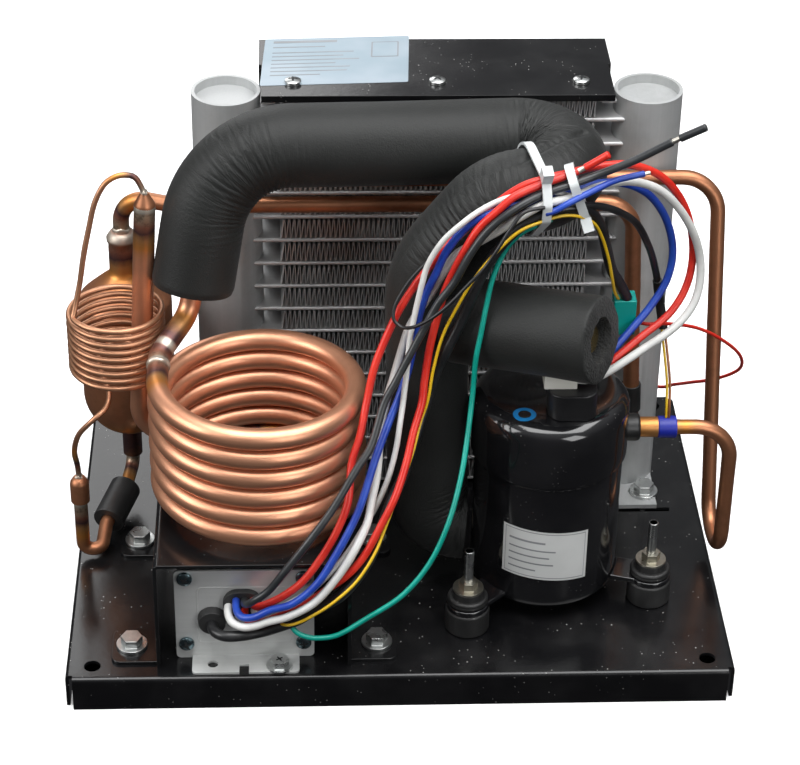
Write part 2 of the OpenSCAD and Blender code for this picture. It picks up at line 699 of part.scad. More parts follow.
sense_yellow_route = [[-50, -101.6, 42.5], [-47.5, -103.4, 43.4], [-44, -104.2, 44.8],
  [-39, -104.2, 47.5], [-29.5, -104.6, 55], [-19.5, -102.6, 64.5], [-12, -98, 75], [-7, -92, 85.5],
  [-2, -86.5, 98], [3.5, -78.5, 110.5], [7, -71.1, 121.1], [10, -67.9, 129.8], [12, -65.4, 142.6],
  [15.5, -62.4, 156.7], [21.5, -61.2, 170.6], [27.5, -61.3, 182.9], [34.5, -60.8, 192.9],
  [44, -59.8, 202.9], [54, -56.9, 206.2], [62, -54.8, 207.4], [69, -53.1, 206], [75, -49.9, 201.2],
  [79, -46.5, 193], [82.5, -44, 182], [85, -41.5, 171], [87, -37.5, 162], [89.4, -33.5, 156]];
earth_wire_route = [[-46, -101, 41], [-43.5, -103, 39], [-40, -103.7, 37.5], [-35, -104, 36.8],
  [-26.5, -104, 38.5], [-15, -103, 46], [-0.5, -102, 57], [10.5, -99.5, 71.5], [18, -94, 87.5],
  [23, -85, 103], [26, -75.1, 117.1], [28, -67.8, 132.3], [29, -64.8, 147], [31, -62.3, 158.5],
  [33, -59, 169.5], [35.5, -56.3, 180.9], [40, -53.3, 190.9], [46, -52.2, 198.1], [54, -51.1, 202.1],
  [58, -50.3, 203.2]];
thin_black_route = [[54, -58.8, 213.5], [46, -61, 212.6], [41, -63.3, 206.9], [36, -64.8, 198.4],
  [31, -65.8, 190.4], [24.5, -67.6, 183.7], [17.5, -68.9, 175.9], [11, -68.7, 169.6],
  [4.5, -66.4, 164.1], [-0.5, -62.3, 161.2], [-4, -59.5, 163.5], [-3, -57.1, 169.1],
  [1.5, -55.2, 177], [6.5, -54.3, 183.4], [11, -53.4, 187.2]];
thin_red_route = [[97.4, -31, 144.2], [101.7, -31, 142.2], [112.8, -27, 139.6], [127.3, -18, 131.3],
  [141.7, -9, 117.9], [149.4, -2, 106.2], [150.3, 6, 94.7], [142.6, 16, 83.5],
  [133.8, 28, 73.8], [128, 40, 64.6], [124.3, 50, 56.9], [108, 61, 52], [93.2, 66, 50]];
signal_cable_route = [[-78.6, -94.2, 37], [-78.3, -97, 37], [-76.8, -100, 37.1], [-74, -102.3, 37.3],
  [-70, -103.2, 37.6], [-64, -102.8, 38], [-57, -101.5, 38.7], [-49.5, -100.8, 41],
  [-43, -100.3, 43.5], [-35.5, -99.5, 48.5], [-24.5, -99.8, 56.5], [-14, -95.2, 70],
  [-7.5, -87.5, 86], [-4.5, -84.5, 93], [0.5, -78, 101], [5, -71, 112.5], [10, -62.8, 126.7],
  [13, -61.8, 138.5], [17.5, -61.6, 150.1], [23, -59.4, 161.9], [28, -57.6, 175.2],
  [33, -56.3, 186.4], [39.5, -55.3, 196.4], [46.5, -54.9, 203.6], [54, -53.7, 207.6],
  [62, -51.8, 208.9], [69, -49.8, 208], [75, -46.4, 203.2], [79, -43, 195], [82, -40.5, 184],
  [85, -38.5, 173], [89.5, -35.5, 164], [93, -33, 156]];
sensor_cable_route = [[66, -50.6, 209], [74, -47.4, 207.8], [83, -43, 203.5], [93, -38, 195],
  [100, -32.5, 181], [105, -26, 165], [108, -23, 150], [111, -26, 132], [113, -33, 116],
  [113, -37.5, 107], [113, -39, 100.6]];

// Ties: strap, gap to the wires, head, and the planes in which the two straps lie
tie_w = 3.6;
tie_t = 1.1;
tie_gap = 1;
tie_head = [5.6, 4.6, 4.2];
first_tie_turn = 9;
first_tie_way = [cos(first_tie_turn), sin(first_tie_turn), 0];
first_tie_at = [fold_x - fold_r + fold_r * sin(first_tie_turn),
  (run_y + second_y) / 2 - fold_r * cos(first_tie_turn), run_z - 2.3];
first_head_turn = 62;
second_tie_at = [68, -48, 214];
second_tie_lean = 19;
second_tie_way = [cos(second_tie_lean), 0, sin(second_tie_lean)];
second_head_turn = -60;
// Wires that the ties hold, with their diameters
tied_wires = [[signal_cable_route, signal_cable_d], [lead_red_route, lead_d],
  [lead_black_route, lead_d], [motor_red_route, motor_d], [motor_blue_route, motor_d],
  [motor_white_route, motor_white_d], [sense_white_route, sense_d]];
// Box on the end of the signal cable, and clip of the sensor cable on the discharge line
connector_from = [87.6, -35.5, 139.5];
connector_to = [97, -26.5, 156];
clip_x = 113;
clip_l = 8;
clip_r = 4.7;

module base_pan() {
  color("#101114") difference() {
    union() {
      translate([flange_inset - pan_w / 2, 0, 0]) rotate([90, 0, 90])
        linear_extrude(pan_w - 2 * flange_inset) channel(pan_d, pan_h, sheet, pan_bend);
      translate([0, pan_d / 2 - flange_inset, 0]) rotate([90, 0, 0])
        linear_extrude(pan_d - 2 * flange_inset) channel(pan_w, pan_h, sheet, pan_bend);
    }
    for (x = [-1, 1], y = [-1, 1]) translate([x * hole_span_w / 2, y * hole_span_d / 2, 0])
      cylinder(d = hole_d, h = pan_h + over);
    translate(slot_at) linear_extrude(pan_h + over) square([slot_l, slot_w], center = true);
    for (p = concat(bracket_bolts_at, header_bolts_at, shroud_bolts_at, [tab_bolt_at]))
      translate([p[0], p[1], 0]) cylinder(d = bolt_d + hole_play, h = pan_h + over);
    for (p = studs_at) translate([p[0], p[1], 0])
      cylinder(d = stud_d + hole_play, h = pan_h + over);
    // Lower corners of the front and rear flanges
    for (x = [-1, 1]) translate([x * (pan_w / 2 - flange_inset), 0, 0]) rotate([0, 45, 0])
      cube([flange_cut, pan_d + over, flange_cut] * sqrt(2) / 2, center = true);
  }
}

module coil_bracket() {
  color("#141518") difference() {
    union() {
      translate([bracket_x, bracket_y + bracket_l / 2, deck]) rotate([90, 0, 0])
        linear_extrude(bracket_l) channel(bracket_w, bracket_h, sheet, bracket_bend);
      for (p = bracket_bolts_at) let (s = sign(p[0] - bracket_x),
        wall_x = bracket_x + s * (bracket_w / 2 - sheet / 2))
        translate([wall_x, p[1] - tab_w / 2, deck]) scale([s, 1, 1]) linear_extrude(sheet) {
          square([tab_l - tab_round, tab_w]);
          translate([0, tab_round]) square([tab_l, tab_w - 2 * tab_round]);
          for (y = [tab_round, tab_w - tab_round])
            translate([tab_l - tab_round, y]) circle(tab_round);
        }
    }
    for (p = bracket_bolts_at) translate([p[0], p[1], 0])
      cylinder(d = bolt_d + hole_play, h = bracket_top);
  }
}

// Bolts with their nuts under the pan; t is the sheet they hold on the deck
module bolt_set(places, t) {
  for (p = places) {
    translate([p[0], p[1], deck + t])
      flange_bolt(bolt_flat, bolt_head_h, bolt_flange_d, bolt_flange_t, bolt_d, bolt_l + t);
    translate([p[0], p[1], deck - sheet - nut_h])
      hex_nut(bolt_flat, nut_h, bolt_d + 2 * press_gap);
  }
}
module pan_bolts() {
  color("#c9ccd0") {
    bolt_set(bracket_bolts_at, sheet);
    bolt_set(header_bolts_at, header_foot_t);
  }
}

screws_at = [for (x = [-1, 1], y = [0, 1])
  [controller_x + x * (controller_w / 2 - screw_in), plate_y, deck + screw_up + y * screw_pitch_h]];
tab_bolt_at = [controller_x + tab_bolt_x, plate_y - tab_bolt_y, deck];

module controller_body() {
  x = controller_w / 2 - housing_margin;
  color("#17181b") difference() {
    union() {
      block([controller_x - x, plate_y + plate_t, deck],
        [controller_x + x, plate_y + plate_t + controller_l, deck + housing_h - fin_h]);
      for (i = [0 : fin_count - 1]) let (fx = controller_x - x
        + (2 * x - fin_w) * i / (fin_count - 1))
        block([fx, plate_y + plate_t, deck],
          [fx + fin_w, plate_y + plate_t + controller_l, deck + housing_h]);
    }
    for (p = screws_at) translate(p) rotate([-90, 0, 0])
      cylinder(d = screw_d + 2 * press_gap, h = screw_l + over);
    for (p = [grommet_at, signal_at])
      translate([controller_x + p[0], plate_y, deck + p[1]]) rotate([-90, 0, 0])
        cylinder(d = grommet_w, h = plate_t + grommet_lip + 2 * press_gap);
  }
}

// Outline of the power grommet, larger by e all round
module oval(e) {
  r = grommet_h / 2;
  square([grommet_w - grommet_h, grommet_h + 2 * e], center = true);
  for (s = [-1, 1]) translate([s * (grommet_w / 2 - r), 0]) circle(r + e);
}

module controller_plate() {
  color("#8f9294") difference() {
    union() {
      translate([controller_x, plate_y + plate_t, deck + controller_h / 2])
        rotate([90, 0, 0]) round_plate(controller_w, controller_h, plate_round, plate_t);
      translate([controller_x + tab_right, plate_y + plate_t / 2 - tab_out / 2, deck])
        round_plate(tab_wide, tab_out + plate_t, plate_round, plate_t);
    }
    for (p = screws_at) translate(p) rotate([-90, 0, 0])
      translate([0, 0, -over]) cylinder(d = screw_d + hole_play, h = plate_t + 2 * over);
    translate([controller_x + grommet_at[0], plate_y + plate_t + over, deck + grommet_at[1]])
      rotate([90, 0, 0]) linear_extrude(plate_t + 2 * over) oval(-grommet_lip);
    translate([controller_x + signal_at[0], plate_y + plate_t + over, deck + signal_at[1]])
      rotate([90, 0, 0]) cylinder(d = signal_d - 2 * grommet_lip, h = plate_t + 2 * over);
    translate(tab_bolt_at - [0, 0, over])
      cylinder(d = small_bolt_d + hole_play, h = plate_t + 2 * over);
    translate([controller_x + tab_hole_x, plate_y - tab_hole_y, deck - over])
      cylinder(d = tab_hole_d, h = plate_t + 2 * over);
    translate([controller_x + tab_slot_x - tab_slot_w / 2, plate_y - tab_out - over, deck - over])
      cube([tab_slot_w, tab_slot_l + over, plate_t + 2 * over]);
  }
}

module controller_screws() {
  color("#b9bcc0") for (p = screws_at) translate(p) rotate([90, 0, 0]) {
    intersection() {
      translate([0, 0, screw_head_h - screw_head_d]) sphere(screw_head_d);
      cylinder(d = screw_head_d, h = screw_head_h);
    }
    translate([0, 0, -screw_l]) cylinder(d = screw_d, h = screw_l);
  }
}

module controller_bolt() {
  color("#c9ccd0") translate(tab_bolt_at + [0, 0, plate_t]) {
    flange_bolt(small_bolt_flat, small_bolt_h, small_washer_d, small_washer_t, small_bolt_d,
      bolt_l);
    translate([0, 0, -plate_t - sheet - nut_h])
      hex_nut(small_bolt_flat, nut_h, small_bolt_d + 2 * press_gap);
  }
}

module power_grommet() {
  color("#0d0d0e") translate([controller_x + grommet_at[0], plate_y, deck + grommet_at[1]])
    rotate([90, 0, 0]) {
      linear_extrude(grommet_out) oval(0);
      translate([0, 0, -plate_t]) linear_extrude(plate_t) oval(-grommet_lip - press_gap);
      translate([0, 0, -plate_t - grommet_lip]) linear_extrude(grommet_lip)
        oval(-grommet_lip / 2);
    }
}

module signal_grommet() {
  color("#0d0d0e") translate([controller_x + signal_at[0], plate_y, deck + signal_at[1]])
    rotate([90, 0, 0]) {
      cylinder(d1 = signal_d, d2 = signal_d - grommet_lip, h = signal_out);
      translate([0, 0, -plate_t])
        cylinder(d = signal_d - 2 * (grommet_lip + press_gap), h = plate_t);
      translate([0, 0, -plate_t - grommet_lip])
        cylinder(d = signal_d - grommet_lip, h = grommet_lip);
    }
}

// Compressor
studs_at = [for (i = [0 : 2]) let (a = foot_turn + 120 * i)
  [comp[0] + foot_r * cos(a), comp[1] + foot_r * sin(a), deck]];

module compressor_shell() {
  color("#0c0d0f") translate([comp[0], comp[1], 0]) difference() {
    union() {
      rotate_extrude() cup(shell_r, seam_z + skirt_h - shell_bottom, shell_round, 0);
      rotate([0, 0, suction_port_turn]) translate([shell_r - shell_t, 0, suction_port_z])
        rotate([0, 90, 0]) cylinder(d = suction_d + 2 * shell_t, h = shell_t + suction_port_l);
    }
    rotate_extrude() cup(shell_r, seam_z + skirt_h - shell_bottom, shell_round, shell_t);
    rotate([0, 0, suction_port_turn]) translate([shell_r - 2 * shell_t, 0, suction_port_z])
      rotate([0, 90, 0]) cylinder(d = suction_d - shell_t, h = 2 * shell_t
        + suction_port_l + over);
  }
}

// Half outline of a cup from the shell's bottom, drawn in by wall t
module cup(r, h, round, t) {
  translate([0, shell_bottom]) {
    translate([0, round]) square([r - t, h - round + (t > 0 ? over : 0)]);
    translate([0, t]) square([r - round, h / 2]);
    intersection() {
      translate([r - round, round]) circle(round - t);
      square([r, round + over]);
    }
  }
}

// Half outline of the upper cap, drawn in by wall t
module dome(t) {
  translate([0, seam_z]) {
    translate([0, -(t > 0 ? over : 0)])
      square([cap_r - t, comp_top - seam_z - cap_round + (t > 0 ? over : 0)]);
    square([cap_r - cap_round, comp_top - seam_z - t]);
    intersection() {
      translate([cap_r - cap_round, comp_top - seam_z - cap_round]) circle(cap_round - t);
      square([cap_r, comp_top - seam_z]);
    }
  }
}

module compressor_cap() {
  color("#0c0d0f") translate([comp[0], comp[1], 0]) difference() {
    union() {
      rotate_extrude() dome(0);
      translate([cap_r - shell_t, 0, discharge_z]) rotate([0, 90, 0])
        cylinder(r = boss_r, h = shell_t + boss_l);
    }
    rotate_extrude() dome(shell_t);
    translate([0, 0, seam_z - over]) cylinder(r = shell_r + press_gap, h = skirt_h + over);
    translate([cap_r - 2 * shell_t, 0, discharge_z]) rotate([0, 90, 0])
      cylinder(d = discharge_d - sheet, h = 2 * shell_t + boss_l + over);
  }
}

module compressor_feet() {
  color("#0c0d0f") difference() {
    for (i = [0 : 2]) translate([comp[0], comp[1], foot_z])
      rotate([0, 0, foot_turn + 120 * i]) {
        translate([foot_r, 0, 0]) cylinder(r = foot_pad_r, h = foot_t);
        translate([0, -foot_arm_w / 2, 0]) cube([foot_r, foot_arm_w, foot_t]);
      }
    translate([comp[0], comp[1], foot_z - over])
      cylinder(r = shell_r + press_gap, h = foot_t + 2 * over);
    for (p = studs_at) translate([p[0], p[1], foot_z - over])
      cylinder(r = foot_hole_r, h = foot_t + 2 * over);
  }
}

module foot_grommets() {
  color("#151515") for (p = studs_at) translate([p[0], p[1], deck]) rotate_extrude()
    difference() {
      union() {
        lower = foot_z - deck - grommet_edge;
        translate([0, grommet_edge]) square([grommet_r, lower - grommet_edge]);
        square([grommet_r - grommet_edge, lower + grommet_edge]);
        square([foot_hole_r - press_gap, grommet_top - deck]);
        for (z = [grommet_edge, lower]) translate([grommet_r - grommet_edge, z]) circle(grommet_edge);
        upper = foot_z + foot_t - deck;
        translate([0, upper + grommet_edge]) square([upper_grommet_r, grommet_edge]);
        for (z = [upper + grommet_edge, upper + 2 * grommet_edge])
          translate([upper_grommet_r, z]) circle(grommet_edge);
      }
      translate([-over, -over]) square([over + stud_d / 2 + hole_play, grommet_top]);
      translate([-grommet_r, -over]) square([grommet_r, grommet_top]);
    }
}

module foot_studs() {
  color("#c9ccd0") for (p = studs_at) translate([p[0], p[1], 0]) {
    translate([0, 0, deck - sheet - stud_head_h])
      cylinder(d = foot_nut_flat / cos(30), h = stud_head_h, $fn = 6);
    translate([0, 0, deck - sheet]) cylinder(d = stud_d, h = stud_top - deck + sheet);
  }
}

module foot_nuts() {
  color("#c8b27a") for (p = studs_at) translate([p[0], p[1], grommet_top]) {
    difference() {
      cylinder(r = foot_washer_r, h = foot_washer_t);
      translate([0, 0, -over]) cylinder(d = stud_d + hole_play, h = foot_washer_t + 2 * over);
    }
    translate([0, 0, foot_washer_t]) hex_nut(foot_nut_flat, foot_nut_h, stud_d + 2 * press_gap);
  }
}

module terminal_cover() {
  color("#0d0d0e") translate([cover_at[0], cover_at[1], comp_top])
    round_plate(cover_w, cover_d, cover_round, cover_h);
}

module terminal_plug() {
  color("#ecebe4") translate([cover_at[0] - cover_w / 2 - plug_over + plug_w / 2, cover_at[1] + plug_back,
    comp_top + cover_h]) {
    translate([-plug_w / 2, -plug_d / 2, 0]) cube([plug_w, plug_d, plug_h]);
  }
}

module motor_stator() {
  color("#6b6f74") translate([comp[0], comp[1], stator_z]) difference() {
    union() {
      cylinder(r = stator_r, h = stator_h);
      translate([0, 0, -winding_h]) cylinder(r = winding_r, h = stator_h + 2 * winding_h);
    }
    translate([0, 0, -winding_h - over]) cylinder(r = stator_bore,
      h = stator_h + 2 * (winding_h + over));
  }
}

module motor_rotor() {
  color("#8d9196") translate([comp[0], comp[1], 0]) {
    translate([0, 0, stator_z]) cylinder(r = rotor_r, h = stator_h);
    translate([0, 0, pump_z + press_gap]) cylinder(r = crank_r, h = shaft_top - pump_z);
    translate([throw, 0, pump_z + pump_plate + running_gap])
      cylinder(r = eccentric_r, h = chamber_h - 2 * running_gap);
  }
}

module rolling_piston() {
  color("#9da1a6") translate([comp[0] + throw, comp[1], pump_z + pump_plate + running_gap])
    difference() {
      cylinder(r = chamber_r - throw - running_gap, h = chamber_h - 2 * running_gap);
      translate([0, 0, -over]) cylinder(r = eccentric_r + running_gap, h = chamber_h + over);
    }
}

module pump_block() {
  block_r = shell_r - shell_t - press_gap;
  h = chamber_h + 2 * pump_plate;
  color("#55595e") translate([comp[0], comp[1], pump_z]) difference() {
    union() {
      cylinder(r = block_r, h = h);
      cylinder(r = collar_r, h = h + collar_h - 2 * press_gap);
    }
    translate([0, 0, pump_plate]) cylinder(r = chamber_r, h = chamber_h);
    translate([0, 0, -over]) cylinder(r = crank_r + running_gap, h = h + collar_h + 2 * over);
    rotate([0, 0, 180]) translate([chamber_r - over, -vane_w / 2, pump_plate])
      cube([vane_l + over, vane_w, chamber_h]);
  }
  // Vane, drawn back in its slot
  color("#b9bcc0") translate([comp[0] - chamber_r - vane_l + press_gap,
    comp[1] - vane_w / 2 + press_gap, pump_z + pump_plate + press_gap])
    cube([vane_l - 6 * press_gap, vane_w - 2 * press_gap, chamber_h - 2 * press_gap]);
}

// Condenser
header_bolts_at = [for (s = [0, 1]) [header_x[s] + (s * 2 - 1) * header_bolt_side,
  header_y - header_bolt_front, deck]];

// Flat tube with round edges, through both headers, larger by e all round
module flat_tube(k, e) {
  x = header_left_x + tube_in - e;
  l = header_span - 2 * (tube_in - e);
  z = first_row + k * tube_pitch;
  r = flat_t / 2 + e;
  translate([x, header_y, z]) rotate([90, 0, 90]) linear_extrude(l) {
    square([core_d - flat_t, 2 * r], center = true);
    for (s = [-1, 1]) translate([s * (core_d - flat_t) / 2, 0]) circle(r);
  }
}

// Header pipe with recessed ends, its slots, its foot and its port
module header(side, turn, port_z, out, bore) {
  bolt = header_bolts_at[side];
  color("#b4b7ba") difference() {
    union() {
      translate([header_x[side], header_y, deck]) cylinder(r = header_r, h = header_h);
      block([min(header_x[side], bolt[0]) - header_foot_w / 4, bolt[1] - header_foot_w / 2,
        deck], [max(header_x[side], bolt[0]) + header_foot_w / 4, header_y,
        deck + header_foot_t]);
      translate([header_x[side], header_y, port_z]) rotate([0, 0, turn]) rotate([0, 90, 0])
        cylinder(r = port_r, h = header_r + out);
    }
    translate([header_x[side], header_y, deck + cap_t])
      cylinder(r = header_r - header_t, h = header_h - 2 * cap_t - cap_deep);
    translate([header_x[side], header_y, deck + header_h - cap_deep])
      cylinder(r = header_r - header_t, h = cap_deep + over);
    translate([header_x[side], header_y, port_z]) rotate([0, 0, turn]) rotate([0, 90, 0])
      cylinder(r = bore, h = header_r + out + over);
    translate([bolt[0], bolt[1], deck - over])
      cylinder(d = bolt_d + hole_play, h = header_foot_t + 2 * over);
    for (k = [0 : tube_rows - 1]) flat_tube(k, press_gap);
  }
}
module header_left() {
  header(0, discharge_turn, discharge_high, port_out, discharge_d / 2 - header_t / 2);
}
module header_right() {
  header(1, liquid_turn, liquid_port_z, liquid_port_out, liquid_d / 2 - header_t / 2);
}

module condenser_tubes() {
  color("#a9acae") for (k = [0 : tube_rows - 1]) flat_tube(k, 0);
}

// One row of corrugated fin as a bent strip that touches the tubes above and below
module condenser_fins() {
  w = fin_run / fin_waves / 2;
  dip = fin_rise * fin_t / (2 * w);
  upper = [for (i = [0 : 2 * fin_waves]) each i % 2 == 1
    ? [[i * w, fin_rise], [i * w + fin_t, fin_rise]] : [[i * w + fin_t / 2, dip]]];
  lower = [for (i = [2 * fin_waves : -1 : 0]) each i % 2 == 1
    ? [[i * w + fin_t / 2, fin_rise - dip]] : [[i * w + fin_t, 0], [i * w, 0]]];
  color("#6e7072") for (k = [-1 : tube_rows - 1])
    translate([fin_x0, header_y + core_d / 2, first_row + k * tube_pitch + flat_t / 2])
      rotate([90, 0, 0]) linear_extrude(core_d) polygon(concat(upper, lower));
}

// Plates over the first and under the last row of fins, stepped down to the headers
module side_plates() {
  l = header_span - 2 * header_r - 2 * press_gap;
  step = fin_margin - header_r;
  color("#d5d7d8") for (s = [0, 1])
    translate([header_left_x + header_r + press_gap, header_y,
      first_row + (s == 1 ? tube_rows * tube_pitch - flat_t / 2 : flat_t / 2 - tube_pitch)])
      scale([1, 1, s * 2 - 1]) rotate([90, 0, 0])
        linear_extrude(core_d, center = true) polygon([[0, -plate_bend], [step - plate_step,
          -plate_bend], [step, 0], [l - step, 0], [l - step + plate_step, -plate_bend],
          [l, -plate_bend], [l, plate_t - plate_bend], [l - step + plate_step * 2,
          plate_t - plate_bend], [l - step + plate_step, plate_t], [step - plate_step,
          plate_t], [step - 2 * plate_step, plate_t - plate_bend],
          [0, plate_t - plate_bend]]);
}

// Shroud and fan
shroud_bolts_at = [for (s = [-1, 1]) [shroud_x + s * shroud_w / 3,
  shroud_back + foot_flange * 0.64, deck]];
top_screws_at = [for (s = [-1 : 1]) [shroud_x + s * shroud_w * 0.41,
  shroud_y + top_screw_in, shroud_top]];
fan_holes_at = [for (x = [-1, 1], z = [-1, 1]) [shroud_x + x * fan_hole_pitch / 2,
  fan_z + z * fan_hole_pitch / 2]];

module fan_shroud() {
  x0 = shroud_x - shroud_w / 2;
  x1 = shroud_x + shroud_w / 2;
  color("#121316") difference() {
    union() {
      block([x0, shroud_y, shroud_top - shroud_t], [x1, shroud_back, shroud_top]);
      block([x0, shroud_y, shroud_top - shroud_lip], [x1, shroud_y + shroud_t, shroud_top]);
      block([x0 - shroud_t, fan_back, deck], [x1 + shroud_t, shroud_back, shroud_top]);
      for (x = [x0 - shroud_t, x1])
        block([x, wall_front, deck], [x + shroud_t, shroud_back, shroud_top]);
      block([x0, fan_back, deck], [x1, shroud_back + foot_flange, deck + shroud_t]);
    }
    translate([shroud_x, shroud_back + over, fan_z]) rotate([90, 0, 0])
      cylinder(r = fan_bore_r, h = shroud_t + 2 * over);
    for (p = fan_holes_at) translate([p[0], shroud_back + over, p[1]]) rotate([90, 0, 0])
      cylinder(d = fan_hole_d, h = shroud_t + 2 * over);
    for (p = top_screws_at) translate(p - [0, 0, shroud_t + over])
      cylinder(d = top_screw_d + hole_play, h = shroud_t + 2 * over);
    for (p = shroud_bolts_at) translate(p - [0, 0, over])
      cylinder(d = bolt_d + hole_play, h = shroud_t + 2 * over);
  }
}

module shroud_screws() {
  color("#c9ccd0") {
    for (p = top_screws_at) translate(p) {
      intersection() {
        cylinder(d = top_screw_head_d, h = top_screw_head_h);
        translate([0, 0, top_screw_head_h - top_screw_head_d]) sphere(top_screw_head_d);
      }
      translate([0, 0, -top_screw_l]) cylinder(d = top_screw_d, h = top_screw_l);
    }
    bolt_set(shroud_bolts_at, shroud_t);
    for (p = fan_holes_at)
      translate([p[0], shroud_back + 2 * guard_r, p[1]]) rotate([-90, 0, 0]) {
        cylinder(d = fan_screw_head_d, h = fan_screw_head_h);
        translate([0, 0, -shroud_t - 2 * guard_r - fan_depth])
          cylinder(d = fan_screw_d, h = shroud_t + 2 * guard_r + fan_depth);
      }
  }
}

module fan_frame() {
  color("#151619") translate([shroud_x, fan_front, fan_z]) rotate([-90, 0, 0]) {
    difference() {
      union() {
        for (z = [0, fan_depth - fan_flange_t]) translate([0, 0, z])
          round_plate(fan_size, fan_size, fan_round, fan_flange_t);
        cylinder(r = fan_bore_r + fan_wall, h = fan_depth);
      }
      translate([0, 0, -over]) cylinder(r = fan_bore_r, h = fan_depth + 2 * over);
      for (x = [-1, 1], y = [-1, 1])
        translate([x * fan_hole_pitch / 2, y * fan_hole_pitch / 2, -over])
          cylinder(d = fan_hole_d, h = fan_depth + 2 * over);
    }
    difference() {
      union() {
        translate([0, 0, fan_depth - motor_t]) cylinder(r = motor_r, h = motor_t);
        for (i = [0 : 3]) rotate([0, 0, 90 * i + 20])
          translate([0, -strut_w / 2, fan_depth - motor_t])
            cube([fan_bore_r + fan_wall / 2, strut_w, motor_t]);
        translate([0, 0, fan_depth / 2]) cylinder(r = bearing_r, h = fan_depth / 2);
      }
      translate([0, 0, -over])
        cylinder(r = shaft_r + running_gap, h = fan_depth - sheet + over);
    }
  }
}

// Section of a blade at radius r: chord, pitch angle and hollow from root to tip
function blade_ring(u) = let (r = blade_root + (blade_tip - blade_root) * u,
  chord = 22 + 16 * u, pitch = 40 - 18 * u, hollow = 2.6)
  [for (m = [0 : 7]) let (s = (m < 4 ? m : 7 - m) / 3 - 0.5, side = m < 4 ? -1 : 1,
    bow = hollow * (1 - 4 * s * s), a = s * chord * cos(pitch) / r * 180 / PI + 14 * u,
    edge = abs(s) > 0.4 ? 0.35 : 1)
    [r * cos(a), r * sin(a), s * chord * sin(pitch) + bow + side * edge * blade_t / 2]];

module fan_rotor() {
  stations = 6;
  color("#1a1b1e") translate([shroud_x, fan_front + rotor_front, fan_z]) rotate([-90, 0, 0]) {
    difference() {
      cylinder(d = fan_hub_d, h = rotor_depth);
      translate([0, 0, hub_t]) cylinder(d = fan_hub_d - 2 * hub_t, h = rotor_depth);
    }
    cylinder(r = shaft_r, h = rotor_depth + sheet);
    for (i = [0 : blades - 1]) rotate([0, 0, 360 * i / blades])
      translate([0, 0, rotor_depth / 2])
        polyhedron([for (j = [0 : stations - 1]) each blade_ring(j / (stations - 1))],
          concat(wall(stations, 8), [for (k = [1 : 6]) each [[0, k, k + 1],
            [8 * stations - 8, 8 * stations - 8 + k + 1, 8 * stations - 8 + k]]]));
  }
}

module fan_guard() {
  step = (fan_bore_r - guard_inner - guard_r) / (guard_rings - 1);
  y = shroud_back + guard_r;
  color("#c2c5c8") {
    for (i = [0 : guard_rings - 1]) translate([shroud_x, y + 1.8 * guard_r, fan_z])
      rotate([90, 0, 0]) rotate_extrude()
        translate([guard_inner + i * step, 0]) circle(guard_r, $fn = 16);
    for (p = fan_holes_at) {
      hole = [p[0], y, p[1]];
      inward = unit([shroud_x, y, fan_z] - hole);
      translate(hole) rotate([90, 0, 0]) rotate_extrude()
        translate([eyelet_r - guard_r / 2, 0]) circle(guard_r, $fn = 16);
      rod(hole + inward * eyelet_r, [shroud_x, y, fan_z] - inward * guard_inner, guard_r);
    }
  }
}

// Copper work
module evaporator_coil() { color("#c57a4f") bar(coil_path, coil_tube_d / 2, coil_sides); }

module evaporator_riser() {
  color("#b5622f") {
    bar(riser_path, coil_tube_d / 2, tube_sides);
    translate(riser_top - [0, 0, press_gap])
      cylinder(r1 = coil_tube_d / 2 - 0.4, r2 = capillary_d / 2 + 0.5, h = riser_cone_h);
  }
}

module capillary_coil() { color("#a8633f") bar(capillary_path, capillary_d / 2, capillary_sides); }

module receiver() {
  r = receiver_d / 2;
  color("#a96b4c") translate([receiver_at[0], receiver_at[1], 0]) {
    rotate_extrude() difference() {
      union() {
        translate([0, receiver_barrel_z]) square([r, receiver_l]);
        translate([0, receiver_barrel_z]) circle(r);
        polygon([[0, receiver_top_z], [r, receiver_top_z], [neck_r, receiver_top_z + cone_h],
          [0, receiver_top_z + cone_h]]);
      }
      translate([-2 * r, 0]) square([2 * r, receiver_end]);
    }
    translate([0, 0, receiver_top_z + cone_h - press_gap]) cylinder(r = neck_r, h = neck_h);
    translate([0, 0, receiver_end - ring_h - press_gap])
      cylinder(r1 = ring_r, r2 = liquid_d / 2 + 1, h = ring_h);
    translate([0, 0, receiver_foot]) cylinder(r = lower_neck_r, h = lower_neck_h + over);
    translate([0, 0, receiver_foot + lower_neck_h / 4])
      cylinder(r = lower_neck_r + 0.5, h = lower_neck_h / 8);
  }
}

module outlet_tube() {
  color("#8d5238") {
    bar(outlet_path, outlet_r, small_sides);
    translate(joint_at) cylinder(r = joint_r, h = joint_h);
    translate(joint_at + [0, 0, joint_h])
      cylinder(r1 = joint_r - 0.6, r2 = capillary_d / 2 + 0.4, h = joint_cone_h);
  }
}

module outlet_sleeve() {
  color("#141414") difference() {
    rod(sleeve_from, sleeve_to, sleeve_r);
    rod(sleeve_from - over * outlet_way, sleeve_to + over * outlet_way, outlet_r + soft_gap);
  }
}

module liquid_line() { color("#a9572b") bar(liquid_path, liquid_d / 2, tube_sides); }

module liquid_sleeve() {
  a = liquid_top + (liquid_foot - liquid_top) * liquid_sleeve_share[0];
  b = liquid_top + (liquid_foot - liquid_top) * liquid_sleeve_share[1];
  way = unit(b - a);
  color("#101010") difference() {
    rod(a, b, liquid_sleeve_r);
    rod(a - over * way, b + over * way, liquid_d / 2 + press_gap);
  }
}

module discharge_line() { color("#b06a3c") bar(discharge_path, discharge_d / 2, tube_sides); }

module suction_line() {
  color("#b5622f") {
    bar(suction_path, suction_d / 2, tube_sides);
    rod(tee, along(tee_l), tee_r);
  }
}

